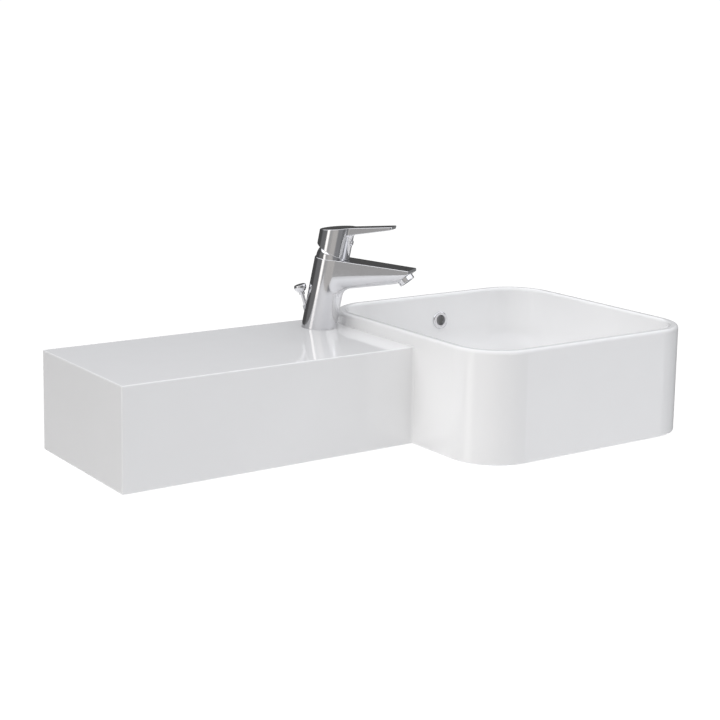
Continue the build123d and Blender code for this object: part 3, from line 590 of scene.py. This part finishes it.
@dataclass(frozen=True)
class Glaze(Finish):
    """White glaze over fired clay, left bare where it bears on the wall.

    Attributes:
        bare: colour of the unglazed clay.
        bare_depth: how far in front of the wall plane the bare clay reaches, in metres.
        bare_rough: roughness of the bare clay.
        waver: features per metre of the uneven edge between glaze and clay.
        ripple: slow unevenness of the glaze, features per metre.
        ripple_depth: its depth, in metres.
        ripple_strength: its share of the full relief.
    """

    bare: tuple[float, float, float] = (0.60, 0.57, 0.52)
    bare_depth: float = 0.0012
    bare_rough: float = 0.85
    waver: float = 70.0
    ripple: float = 26.0
    ripple_depth: float = 0.00012
    ripple_strength: float = 0.6

    def shader(self, nodes: NodeSet) -> bpy.types.Node:
        """Glossy white with a faint ripple; matt clay on the back face."""
        shader = super().shader(nodes)
        place = nodes.add("ShaderNodeTexCoord")
        split = nodes.add("ShaderNodeSeparateXYZ")
        nodes.link(place.outputs["Object"], split.inputs[0])
        waver = nodes.math("MULTIPLY", nodes.noise(self.waver), self.bare_depth)
        edge = nodes.math("ADD", split.outputs["Y"], waver)
        bare = nodes.math("GREATER_THAN", edge, -self.bare_depth / 2)
        colour = shader.inputs["Base Color"].links[0].from_socket
        nodes.link(nodes.blend(bare, colour, (*self.bare, 1.0)), shader.inputs["Base Color"])
        gloss = shader.inputs["Roughness"].links[0].from_socket
        rough = nodes.math("MAXIMUM", gloss, nodes.math("MULTIPLY", bare, self.bare_rough))
        nodes.link(rough, shader.inputs["Roughness"])
        slow = nodes.bump(nodes.noise(self.ripple, 1.0), self.ripple_depth, self.ripple_strength)
        fine = shader.inputs["Normal"].links[0].from_node
        nodes.link(slow, fine.inputs["Normal"])
        return shader


class Look(Enum):
    """The finishes, each named after its material slot in the record."""

    CERAMIC = Glaze(
        "white_glaze", (0.86, 0.86, 0.855), drift=0.012, patch=9.0, rough=(0.05, 0.09),
        grain=420.0, relief=0.000006, specular=0.5,
    )
    CHROME = Finish(
        "chrome", (0.75, 0.75, 0.765), drift=0.02, patch=60.0, rough=(0.07, 0.11),
        grain=700.0, relief=0.0000015, metallic=1.0,
    )
    CHROME_PLUG = Finish(
        "chrome_plug", (0.74, 0.74, 0.75), drift=0.03, patch=120.0, rough=(0.08, 0.14),
        grain=900.0, relief=0.000002, metallic=1.0,
    )
    BRASS = Finish(
        "turned_brass", (0.70, 0.53, 0.27), drift=0.18, patch=90.0, rough=(0.22, 0.38),
        grain=1600.0, relief=0.00001, metallic=1.0,
    )
    STEEL = Finish(
        "drawn_steel", (0.60, 0.60, 0.61), drift=0.10, patch=110.0, rough=(0.22, 0.34),
        grain=2200.0, relief=0.000008, metallic=1.0,
    )
    DISC_CERAMIC = Finish(
        "lapped_disc", (0.86, 0.84, 0.79), drift=0.04, patch=150.0, rough=(0.18, 0.28),
        grain=3000.0, relief=0.000004,
    )
    GREY_PLASTIC = Finish(
        "grey_plastic", (0.50, 0.51, 0.52), drift=0.05, patch=80.0, rough=(0.38, 0.5),
        grain=1800.0, relief=0.000012,
    )
    BLACK_PLASTIC = Finish(
        "black_plastic", (0.035, 0.035, 0.038), drift=0.15, patch=80.0, rough=(0.36, 0.5),
        grain=1800.0, relief=0.000012,
    )
    RUBBER = Finish(
        "black_rubber", (0.03, 0.03, 0.031), drift=0.2, patch=60.0, rough=(0.62, 0.78),
        grain=1300.0, relief=0.00002, specular=0.35,
    )


@dataclass
class Paint:
    """Builds each finish once and lays it on pieces and CAD nodes."""

    made: dict[Look, bpy.types.Material] = field(default_factory=dict)

    def material(self, look: Look) -> bpy.types.Material:
        """The material of a finish."""
        if look not in self.made:
            self.made[look] = look.value.build()
        return self.made[look]

    def lay(self, piece: bpy.types.Object, slot: str) -> None:
        """Give every slot of a piece the finish of one material slot in the record."""
        material = self.material(Look[slot.upper()])
        if not piece.material_slots:
            piece.data.materials.append(material)
        for slot in piece.material_slots:
            slot.material = material

    def dress_nodes(self) -> None:
        """Give each CAD node the finish of its slot in the record."""
        for row in frame["record"]["subparts"]:
            self.lay(frame["nodes"][row["node"]], row["material_slot"])
            LOG.info("dressed %s in %s", row["node"], row["material_slot"])


@dataclass
class Fitting:
    """What a finer piece needs to take its place in the model.

    Attributes:
        name: the piece's name.
        body: the body it rides on.
        node: the CAD node it stands for.
        slot: its material slot in the record.
    """

    name: str
    body: str
    node: str
    slot: str

    def settle(self, piece: bpy.types.Object, paint: Paint) -> bpy.types.Object:
        """Finish a piece, let it stand for its node and ride on its body."""
        paint.lay(piece, self.slot)
        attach(piece, self.body)
        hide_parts(self.node)
        LOG.info("%s has %d faces", piece.name, len(piece.data.polygons))
        return piece


# The tap


@dataclass
class TapBody:
    """Cast body: a leaning column and a spout with a flat sloping top, short sides and a round belly.

    Lengths are in millimetres. The frame stands on the deck with X along the spout and Z up. Pairs
    are sizes at the spout's root and at its tip.

    Attributes:
        axis: the leaning axis.
        lean: its lean towards the tip.
        base_height: height up the axis where the cone has its base radius, below the deck.
        top_height: height up the axis of the flat top.
        overlength: how far the cone runs on past its top before it is cut.
        slope: fall of the top for each millimetre towards the tip.
        crease: drop from the top to the edge between side and belly.
        depth: drop from the top to the lowest point of the belly.
        end_tilt: slant of the end that holds the aerator.
        lip_drop: height of the upright edge over the slanted end.
        throat: fillet between column and belly.
        side_throat: fillet between column and sides.
        spout_start: where the spout begins inside the column.
        mouth_place: from the lip's foot down the slant to the aerator's middle.
        clear: how far a cutter runs on past the surface it opens, for chamber and mouth.
        bend_at: the point about which the skin's path turns from the column into the spout.
        heel_x: where the path turns again, towards the slanted end.
        inset: how far the path starts inside the foot, and turns past the end's slant.
    """

    axis: Place
    lean: float = math.radians(10.5)
    base_radius: float = 25.7
    base_height: float = -10.0
    top_radius: float = 25.0
    top_height: float = 107.3
    overlength: float = 10.0
    slope: float = math.tan(math.radians(4.1))
    root: float = 25.0
    tip: float = 144.0
    half_width: tuple[float, float] = (22.5, 18.0)
    crease: tuple[float, float] = (25.0, 4.0)
    depth: tuple[float, float] = (47.6, 18.4)
    end_tilt: float = math.radians(39.0)
    lip_drop: float = 4.0
    throat: float = 12.0
    side_throat: float = 1.2
    spout_start: float = 12.0
    edge: float = 0.9
    crease_edge: float = 0.7
    foot_edge: float = 0.5
    chamber_radius: float = 18.3
    chamber_floor: float = 62.0
    mouth_radius: float = 10.6
    mouth_place: float = 14.3
    mouth_depth: float = 12.0
    clear: tuple[float, float] = (20.0, 30.0)
    bend_at: tuple[float, float] = (50.0, 52.0)
    heel_x: float = 108.0
    inset: tuple[float, float] = (0.02, 0.03)
    fitting: Fitting = field(
        default_factory=lambda: Fitting("tap_body_skin", "fixed", "tap_body", "chrome")
    )

    def top(self, x: Array | float) -> Array | float:
        """Height of the flat top: it falls evenly from the axis towards the tip."""
        start = self.top_height * math.sin(self.lean)
        return self.top_height * math.cos(self.lean) - (x - start) * self.slope

    def along_spout(self, x: Array, ends: tuple[float, float]) -> Array:
        """A size of the section, even from root to tip and carried on beyond."""
        share = (x - self.root) / (self.tip - self.root)
        return ends[0] + (ends[1] - ends[0]) * share

    def column(self, p: Array) -> Array:
        """Distance from the leaning cone: radius about the axis less the cone's radius there."""
        x = p[..., 0] * math.cos(self.lean) - p[..., 2] * math.sin(self.lean)
        z = p[..., 0] * math.sin(self.lean) + p[..., 2] * math.cos(self.lean)
        share = (z - self.base_height) / (self.top_height + self.overlength - self.base_height)
        return np.hypot(x, p[..., 1]) - (self.base_radius + (self.top_radius - self.base_radius) * share)

    def spout(self, p: Array) -> tuple[Array, Array]:
        """Distance from the spout without its top and end, and how far a point faces down.

        The belly is a circle through the creases and the lowest point, with radius
        (h squared + s squared) / 2s for half width h and drop s from crease to belly.
        """
        x, y, z = p[..., 0], p[..., 1], p[..., 2]
        half = self.along_spout(x, self.half_width)
        crease = self.along_spout(x, self.crease)
        depth = self.along_spout(x, self.depth)
        drop = depth - crease
        radius = (half**2 + drop**2) / (2 * drop)
        centre = self.top(x) - depth + radius
        belly = np.hypot(y, np.minimum(z - centre, 0)) - radius
        form = rounded_cut(belly, np.abs(y) - half, self.crease_edge)
        down = np.clip((centre - z) / np.maximum(np.hypot(y, z - centre), 1e-6), 0, 1)
        return np.maximum(form, self.spout_start - x), down

    def distance(self, p: Array) -> Array:
        """The whole outside: column and spout with a soft throat, cut by top, foot and end."""
        spout, down = self.spout(p)
        soft = self.side_throat + (self.throat - self.side_throat) * down**2
        body = rounded_join(self.column(p), spout, soft)
        top = (p[..., 2] - self.top(p[..., 0])) * math.cos(math.atan(self.slope))
        body = rounded_cut(body, top, self.edge)
        lip = self.top(self.tip) - self.lip_drop
        along = (p[..., 0] - self.tip) * math.sin(self.end_tilt)
        end = along - (p[..., 2] - lip) * math.cos(self.end_tilt)
        body = rounded_cut(body, np.maximum(end, p[..., 0] - self.tip), self.edge)
        return rounded_cut(body, -p[..., 2], self.foot_edge)

    def mouth(self) -> Place:
        """The aerator's seat on the slanted end, in the tap's frame, Z out along the stream."""
        tilt = self.end_tilt
        spot = (
            self.tip - self.mouth_place * math.cos(tilt),
            0.0,
            self.top(self.tip) - self.lip_drop - self.mouth_place * math.sin(tilt),
        )
        out = np.array([math.sin(tilt), 0.0, -math.cos(tilt)])
        across = np.array([0.0, 1.0, 0.0])
        return Place(np.array(spot), np.array([np.cross(across, out), across, out]))

    def hollows(self) -> list[Hollow]:
        """The cartridge chamber and the aerator's seat.

        Both cutters come out inside out, because the side test in turned_surface is nought for an
        upright profile. They mark their edges on the skin and take nothing away.
        """
        sine, cosine = math.sin(self.lean), math.cos(self.lean)
        leaning = Place(np.zeros(3), np.array([[cosine, 0, -sine], [0, 1, 0], [sine, 0, cosine]]))
        mouth = self.mouth()

        def drum(place: Place, radius: float, low: float, high: float) -> Hollow:
            """A cylinder about a frame's Z."""
            outline = arc_outline([(radius, low, 0), (radius, high, 0)])
            local = turned_surface(outline, 72)
            points = place.origin + local.points @ place.axes
            surface = Surface(points, local.normals @ place.axes, local.faces)

            def distance(p: Array) -> Array:
                """Greater of the distances from the side and from the two ends."""
                q = (p - place.origin) @ place.axes.T
                side = np.hypot(q[..., 0], q[..., 1]) - radius
                return np.maximum(side, np.maximum(low - q[..., 2], q[..., 2] - high))

            return Hollow(surface, distance)

        return [
            drum(leaning, self.chamber_radius, self.chamber_floor, self.top_height + self.clear[0]),
            drum(mouth, self.mouth_radius, -self.mouth_depth, self.clear[1]),
        ]

    def build(self, paint: Paint) -> bpy.types.Object:
        """The body's skin up the column, round the throat, along the spout and round its end."""
        lip = self.top(self.tip) - self.lip_drop
        heel = (self.heel_x, lip - (self.tip - self.heel_x) * math.tan(self.end_tilt))
        foot = (self.bend_at[0], self.inset[0])
        end_angle = math.degrees(self.end_tilt) + self.inset[1]
        legs = (
            Leg(foot, self.bend_at, (180.0, 180.0), (5.0, 95.0)),
            Leg(self.bend_at, self.bend_at, (180.0, 90.0), (3.0, 95.0)),
            Leg(self.bend_at, heel, (90.0, 90.0), (2.0, 60.0)),
            Leg(heel, heel, (90.0, end_angle), (2.0, 60.0)),
        )
        place = upright(self.axis)
        surface = Skin(self.distance, legs).build()
        piece = piece_mesh(self.fitting.name, surface, place)
        carve(piece, place, self.distance, self.hollows())
        return self.fitting.settle(piece, paint)


@dataclass
class LeverHandle:
    """Round cap over the dome with a slanted skirt, and a flat lever that rises with the cap's top.

    Lengths are in millimetres, in the frame of the leaning axis with X towards the lever's tip.

    Attributes:
        axis: the leaning axis.
        top_height: height of the sloping top at the axis.
        skirt_height: height of the skirt's lower edge at the axis.
        tip: reach of the lever.
        half_width: half its width at the axis and before its round corners.
        root_reach: where root_thickness is measured.
        tip_reach: where tip_thickness is measured.
        throat: fillet between cap and lever at its middle.
        side_throat: fillet between cap and lever at its sides.
        lever_start: where the lever begins inside the cap.
        hollow_radius: radius of the hollow that runs over the dome.
        bend_at: the point about which the skin's path turns from the cap into the lever.
        inset: how far the path starts inside the skirt and ends before the tip.
    """

    axis: Place
    radius: float = 25.3
    top_height: float = 152.3
    top_slope: float = math.tan(math.radians(15.6))
    skirt_height: float = 117.8
    skirt_slope: float = math.tan(math.radians(16.2))
    tip: float = 84.5
    half_width: tuple[float, float] = (14.0, 12.5)
    corner: float = 4.0
    root_reach: float = 31.3
    root_thickness: float = 10.0
    tip_reach: float = 83.7
    tip_thickness: float = 4.8
    throat: float = 6.0
    side_throat: float = 2.0
    lever_start: float = 3.0
    edge: float = 0.8
    hollow_radius: float = 23.85
    pivot_height: float = PIVOT_HEIGHT
    bend_at: tuple[float, float] = (45.0, 135.0)
    inset: float = 0.02
    fitting: Fitting = field(
        default_factory=lambda: Fitting("handle_skin", "lever", "handle", "chrome")
    )

    def top(self, x: Array | float) -> Array | float:
        """Height of the sloping top."""
        return self.top_height + x * self.top_slope

    def lever(self, p: Array) -> Array:
        """Distance from the lever without its top: tapered sides, round corners, slanted underside."""
        x, y, z = p[..., 0], p[..., 1], p[..., 2]
        share = np.clip(x / (self.tip - self.corner), 0, 1)
        half = self.half_width[0] + (self.half_width[1] - self.half_width[0]) * share
        plan = rounded_cut(np.abs(y) - half, x - self.tip, self.corner)
        low_root = self.top(self.root_reach) - self.root_thickness
        low_tip = self.top(self.tip) - self.tip_thickness
        slope = (low_tip - low_root) / (self.tip_reach - self.root_reach)
        under = (low_root + (x - self.root_reach) * slope - z) * math.cos(math.atan(slope))
        return np.maximum(rounded_cut(plan, under, self.edge), self.lever_start - x)

    def distance(self, p: Array) -> Array:
        """Cap and lever with a soft corner between, cut by the top and the skirt."""
        cap = np.hypot(p[..., 0], p[..., 1]) - self.radius
        middle = 1 - smooth_step(0.0, 1.0, np.abs(p[..., 1]) / self.half_width[0])
        soft = self.side_throat + (self.throat - self.side_throat) * middle
        whole = rounded_join(cap, self.lever(p), soft)
        top = (p[..., 2] - self.top(p[..., 0])) * math.cos(math.atan(self.top_slope))
        skirt = self.skirt_height - self.skirt_slope * p[..., 0] - p[..., 2]
        whole = rounded_cut(whole, top, self.edge)
        return rounded_cut(whole, skirt * math.cos(math.atan(self.skirt_slope)), self.edge)

    def ball(self) -> Hollow:
        """The round hollow that runs over the dome."""
        turn = np.radians(np.linspace(-89.0, 89.0, 61))
        outline = np.stack([np.cos(turn), np.sin(turn)], axis=-1)
        centre = np.array([0.0, self.pivot_height])
        surface = turned_surface((centre + self.hollow_radius * outline, outline), 96)

        def distance(p: Array) -> Array:
            """Distance from the ball."""
            centred = p - np.array([0.0, 0.0, self.pivot_height])
            return np.linalg.norm(centred, axis=-1) - self.hollow_radius

        return Hollow(surface, distance)

    def build(self, paint: Paint) -> bpy.types.Object:
        """The handle's skin up the cap, round the throat and out along the lever."""
        tilt = 180.0 - math.degrees(math.atan(self.skirt_slope))
        foot = (self.bend_at[0], self.skirt_height - self.skirt_slope * self.bend_at[0] + self.inset)
        last = (self.tip - self.inset, self.bend_at[1])
        legs = (
            Leg(foot, self.bend_at, (tilt, tilt), (5.0, 95.0)),
            Leg(self.bend_at, self.bend_at, (tilt, 90.0), (3.0, 95.0)),
            Leg(self.bend_at, last, (90.0, 90.0), (5.0, 80.0)),
        )
        surface = Skin(self.distance, legs).build()
        piece = piece_mesh(self.fitting.name, surface, self.axis)
        carve(piece, self.axis, self.distance, [self.ball()])
        return self.fitting.settle(piece, paint)


@dataclass
class LiftKnob:
    """Half-ball knob with a flat top on a short neck, turned about the lift rod.

    Lengths are in millimetres, down the rod from the middle of the flat top.

    Attributes:
        radius: radius of the ball.
        centre_drop: depth of the ball's centre below the flat top.
        neck: length of the neck below the ball.
        edge: rounding of the rim.
        neck_edge: rounding of the neck's foot.
        core: radius of the small flats about the axis.
    """

    radius: float = 9.0
    centre_drop: float = 3.0
    neck_radius: float = 4.0
    neck: float = 4.0
    edge: float = 0.7
    neck_edge: float = 0.4
    core: float = 0.4
    fitting: Fitting = field(
        default_factory=lambda: Fitting("lift_knob_skin", "lift", "lift_knob", "chrome")
    )

    def place(self) -> Place:
        """The rod's line, with its origin at the centre of the knob's flat top."""
        up = unit(np.array(joint_named("lift_rod_slide")["axis"], float))
        across = unit(np.cross(up, np.array([1.0, 0.0, 0.0])))
        flat_radius = math.sqrt(self.radius**2 - self.centre_drop**2)
        lean = math.acos(float(up[2]))
        top_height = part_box("lift_knob")[1][2] - MM * flat_radius * math.sin(lean)
        low, high = (np.array(corner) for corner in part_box("lift_rod"))
        middle = (low + high) / 2
        top = middle + up * ((top_height - middle[2]) / up[2])
        return Place(top, np.array([np.cross(across, up), across, up]))

    def build(self, paint: Paint) -> bpy.types.Object:
        """The knob, with a softened edge round its flat top."""
        opening = math.asin(self.neck_radius / self.radius)
        turn = np.linspace(-math.pi / 2 + opening, math.asin(self.centre_drop / self.radius), 40)
        ball = np.stack([np.cos(turn), np.sin(turn)], axis=-1)
        points = np.array([0.0, -self.centre_drop]) + self.radius * ball
        keep = points[:, 1] < -self.edge
        neck_foot = points[0, 1] - self.neck
        corners = [
            (self.core, neck_foot, 0),
            (self.neck_radius, neck_foot, self.neck_edge),
            (self.neck_radius, points[0, 1], 0),
        ]
        neck, neck_left = arc_outline(corners)
        share = np.linspace(0, 1, 9)[1:, None] * math.pi / 2
        rim = np.array([points[-1, 0] - self.edge, -self.edge])
        arc = np.concatenate([np.cos(share), np.sin(share)], axis=1)
        profile = np.vstack([neck, points[keep], rim + self.edge * arc, [[self.core, 0.0]]])
        outward = np.vstack([-neck_left, ball[keep], arc, [[0.0, 1.0]]])
        surface = turned_surface((profile, outward), 72)
        return self.fitting.settle(piece_mesh(self.fitting.name, surface, self.place()), paint)


# The studio


@dataclass(frozen=True)
class Softbox:
    """A soft panel of light far away, in the world.

    Attributes:
        towards: its middle, in degrees from the front (-Y) towards the right (+X).
        half: half its width in degrees.
        low: lower edge above the horizon, in degrees.
        high: upper edge.
        level: its brightness.
        tint: its colour.
        soft: width of its faded edge at the sides, in degrees.
        soft_height: width of its faded edge above and below.
    """

    towards: float
    half: float
    low: float
    high: float
    level: float
    tint: tuple[float, float, float] = (1.0, 1.0, 1.0)
    soft: float = 6.0
    soft_height: float = 6.0


@dataclass
class Studio:
    """Camera, pale floor and the soft light round the basin.

    Attributes:
        camera_at: place of the camera, in metres.
        yaw: its turn from straight at the wall (+Y) towards the right (+X).
        pitch: its turn downwards.
        roll: its turn about its line of sight.
        lens: focal length in millimetres.
        sensor: width of the picture in the camera, in millimetres.
        shift: shift of the picture, as a share of its width.
        clip: nearest and farthest distance that the camera sees.
        floor_height: height of the floor, in metres.
        floor_half: half its width.
        floor_colour: its colour, the same in red, green and blue.
        floor_rough: its roughness.
        floor_glow: its own brightness, which fades it into the backdrop.
        base: brightness of the room between the panels.
        backdrop: brightness behind the basin, for the camera alone.
        boxes: the panels of light.
        lamp_from: where the lamp stands, from the front towards the right.
        lamp_height: its angle above the horizon.
        lamp_away: its distance from the point it aims at.
        lamp_aim: the point it aims at.
        lamp_cone: width of its cone.
        lamp_fade: share of the cone over which it fades.
        lamp_radius: radius of the lamp, which softens its shadows.
        lamp_watts: its power.
        lamp_tint: its colour.
    """

    camera_at: tuple[float, float, float] = (-1.25322, -1.92663, 0.54571)
    yaw: float = math.radians(35.062)
    pitch: float = math.radians(9.188)
    roll: float = math.radians(1.055)
    lens: float = 77.32
    sensor: float = 36.0
    shift: float = -0.139
    clip: tuple[float, float] = (0.05, 200.0)
    floor_height: float = -0.75
    floor_half: float = 1.6
    floor_colour: float = 0.85
    floor_rough: float = 0.9
    floor_glow: float = 0.25
    base: float = 0.08
    backdrop: float = 1.05
    boxes: tuple[Softbox, ...] = (
        # The key at the left, the dim room behind it, and the two fills beside the camera
        Softbox(-92, 8, -30, 24, 1.40, (1.0, 0.968, 0.93), soft=9.0),
        Softbox(-120, 22, -30, 24, 0.10, (0.98, 0.98, 1.0), soft=18.0),
        Softbox(-74, 10, -30, 28, 0.34, (1.0, 0.985, 0.975), soft=8.0),
        Softbox(-47, 17, -30, 28, 0.46, (1.0, 0.965, 0.93), soft=12.0),
        # The dim front, then the card that the bowl's front mirrors, with its flanks
        Softbox(-14, 16, -30, 28, 0.19, (0.95, 0.96, 1.0), soft=12.0),
        Softbox(16, 14, -30, 28, 0.10, (0.94, 0.955, 1.0), soft=12.0),
        Softbox(30, 6, -30, 28, 0.34, (0.94, 0.955, 1.0), soft=4.0),
        Softbox(46.5, 8, -30, 28, 1.15, (0.94, 0.955, 1.0), soft=1.5),
        Softbox(62, 9, -30, 28, 0.34, (0.94, 0.96, 1.0), soft=2.0),
        # The far right
        Softbox(100, 30, -30, 28, 0.14, (0.94, 0.965, 1.0), soft=16.0),
        # The high ring, stronger at the left, and the ceiling
        Softbox(-95, 34, 28, 56, 0.35, (1.0, 0.985, 0.97), soft=12.0),
        Softbox(-45, 90, 28, 60, 1.44, (0.955, 0.962, 1.0), soft=40.0),
        Softbox(135, 90, 28, 60, 1.24, (0.955, 0.962, 1.0), soft=40.0),
        Softbox(0, 200, 60, 120, 0.92, (0.965, 0.97, 1.0)),
    )
    lamp_from: float = math.radians(-70.0)
    lamp_height: float = math.radians(13.0)
    lamp_away: float = 3.0
    lamp_aim: tuple[float, float, float] = (0.2825, -0.30, 0.05)
    lamp_cone: float = math.radians(11.4)
    lamp_fade: float = 0.6
    lamp_radius: float = 0.3
    lamp_watts: float = 52.0
    lamp_tint: tuple[float, float, float] = (1.0, 0.985, 0.975)

    def camera(self) -> bpy.types.Object:
        """The camera at the photograph's place, with its yaw, pitch and roll."""
        sine, cosine = math.sin(self.yaw), math.cos(self.yaw)
        ahead = np.array([sine * math.cos(self.pitch), cosine * math.cos(self.pitch), -math.sin(self.pitch)])
        right = np.array([cosine, -sine, 0.0])
        up = np.cross(right, ahead)
        rolled_right = math.cos(self.roll) * right + math.sin(self.roll) * up
        rolled_up = -math.sin(self.roll) * right + math.cos(self.roll) * up
        data = bpy.data.cameras.new("photograph")
        data.lens = self.lens
        data.sensor_width = self.sensor
        data.sensor_fit = "HORIZONTAL"
        data.shift_y = self.shift
        data.clip_start, data.clip_end = self.clip
        camera = bpy.data.objects.new("photograph", data)
        bpy.context.scene.collection.objects.link(camera)
        turn = Matrix([rolled_right, rolled_up, -ahead]).transposed()
        camera.matrix_world = Matrix.Translation(Vector(self.camera_at)) @ turn.to_4x4()
        bpy.context.scene.camera = camera
        return camera

    def floor(self) -> bpy.types.Object:
        """A pale floor, bright enough to fade into the backdrop."""
        half, height = self.floor_half, self.floor_height
        mesh = bpy.data.meshes.new("floor")
        corners = [(-half, -half, height), (half, -half, height), (half, half, height), (-half, half, height)]
        mesh.from_pydata(corners, [], [(0, 1, 2, 3)])
        floor = bpy.data.objects.new("floor", mesh)
        bpy.context.scene.collection.objects.link(floor)
        material = bpy.data.materials.new("pale_floor")
        material.use_nodes = True
        nodes = NodeSet(material.node_tree)
        shader = nodes.add("ShaderNodeBsdfPrincipled")
        shader.inputs["Base Color"].default_value = (*[self.floor_colour] * 3, 1.0)
        shader.inputs["Roughness"].default_value = self.floor_rough
        shader.inputs["Emission Color"].default_value = (1.0, 1.0, 1.0, 1.0)
        shader.inputs["Emission Strength"].default_value = self.floor_glow
        out = nodes.add("ShaderNodeOutputMaterial")
        nodes.link(shader.outputs["BSDF"], out.inputs["Surface"])
        mesh.materials.append(material)
        return floor

    def lamp(self) -> bpy.types.Object:
        """A narrow lamp from the left that brightens the bowl and leaves the shelf's front alone."""
        data = bpy.data.lights.new("bowl_lamp", "SPOT")
        data.energy = self.lamp_watts
        data.color = self.lamp_tint
        data.spot_size = self.lamp_cone
        data.spot_blend = self.lamp_fade
        data.shadow_soft_size = self.lamp_radius
        lamp = bpy.data.objects.new("bowl_lamp", data)
        level = math.cos(self.lamp_height)
        across, ahead = math.sin(self.lamp_from) * level, -math.cos(self.lamp_from) * level
        towards = Vector((across, ahead, math.sin(self.lamp_height)))
        turn = towards.to_track_quat("Z", "Y").to_matrix().to_4x4()
        lamp.matrix_world = Matrix.Translation(Vector(self.lamp_aim) + self.lamp_away * towards) @ turn
        lamp.visible_glossy = False
        bpy.context.scene.collection.objects.link(lamp)
        return lamp

    def world(self) -> None:
        """White behind the basin; softboxes on a dim room for everything that it mirrors."""
        world = bpy.data.worlds.new("studio")
        bpy.context.scene.world = world
        world.use_nodes = True
        nodes = NodeSet(world.node_tree)
        where = nodes.add("ShaderNodeTexCoord")
        split = nodes.add("ShaderNodeSeparateXYZ")
        nodes.link(where.outputs["Generated"], split.inputs[0])
        front = nodes.math("MULTIPLY", split.outputs["Y"], -1.0)
        around = nodes.math("DEGREES", nodes.math("ARCTAN2", split.outputs["X"], front))
        height = nodes.math("DEGREES", nodes.math("ARCSINE", split.outputs["Z"]))
        total = None
        for box in self.boxes:
            lit = self.panel(nodes, box, around, height)
            total = lit if total is None else self.plus(nodes, total, lit)
        base = nodes.add("ShaderNodeCombineXYZ")
        for socket in base.inputs:
            socket.default_value = self.base
        total = self.plus(nodes, total, base.outputs[0])
        room = nodes.add("ShaderNodeBackground")
        nodes.link(total, room.inputs["Color"])
        white = nodes.add("ShaderNodeBackground")
        white.inputs["Color"].default_value = (1.0, 1.0, 1.0, 1.0)
        white.inputs["Strength"].default_value = self.backdrop
        ray = nodes.add("ShaderNodeLightPath")
        mix = nodes.add("ShaderNodeMixShader")
        nodes.link(ray.outputs["Is Camera Ray"], mix.inputs[0])
        nodes.link(room.outputs[0], mix.inputs[1])
        nodes.link(white.outputs[0], mix.inputs[2])
        out = nodes.add("ShaderNodeOutputWorld")
        nodes.link(mix.outputs[0], out.inputs["Surface"])

    def plus(
        self, nodes: NodeSet, first: bpy.types.NodeSocket, second: bpy.types.NodeSocket
    ) -> bpy.types.NodeSocket:
        """The sum of two colours."""
        node = nodes.add("ShaderNodeVectorMath", operation="ADD")
        nodes.link(first, node.inputs[0])
        nodes.link(second, node.inputs[1])
        return node.outputs[0]

    def panel(
        self, nodes: NodeSet, box: Softbox, around: bpy.types.NodeSocket, height: bpy.types.NodeSocket
    ) -> bpy.types.NodeSocket:
        """One softbox: its level where a direction lies within its width and height."""
        off = nodes.math("WRAP", nodes.math("SUBTRACT", around, box.towards), 180.0, -180.0)
        side = self.fade(nodes, nodes.math("ABSOLUTE", off), box.half, box.soft)
        middle = (box.low + box.high) / 2
        rise = nodes.math("ABSOLUTE", nodes.math("SUBTRACT", height, middle))
        level = self.fade(nodes, rise, (box.high - box.low) / 2, box.soft_height)
        lit = nodes.math("MULTIPLY", nodes.math("MULTIPLY", side, level), box.level)
        tint = nodes.add("ShaderNodeVectorMath", operation="SCALE")
        tint.inputs[0].default_value = box.tint
        nodes.link(lit, tint.inputs["Scale"])
        return tint.outputs[0]

    def fade(
        self, nodes: NodeSet, value: bpy.types.NodeSocket, edge: float, soft: float
    ) -> bpy.types.NodeSocket:
        """One inside an edge and nought outside it, with an even S across the soft width."""
        node = nodes.add("ShaderNodeMapRange", interpolation_type="SMOOTHSTEP")
        nodes.link(value, node.inputs["Value"])
        node.inputs["From Min"].default_value = edge - soft / 2
        node.inputs["From Max"].default_value = edge + soft / 2
        node.inputs["To Min"].default_value = 1.0
        node.inputs["To Max"].default_value = 0.0
        return node.outputs["Result"]

    def build(self) -> None:
        """Everything round the basin."""
        bpy.context.scene.view_settings.view_transform = "Standard"
        self.camera()
        self.floor()
        self.lamp()
        self.world()


def main() -> None:
    """Dress the nodes, build the finer pieces and set the studio."""
    logging.basicConfig(level=logging.INFO, format="%(message)s")
    paint = Paint()
    paint.dress_nodes()
    axis = lever_axis_place(PIVOT_HEIGHT)
    TapBody(axis).build(paint)
    LeverHandle(axis).build(paint)
    LiftKnob().build(paint)
    Studio().build()


if __name__ == "__main__":
    main()
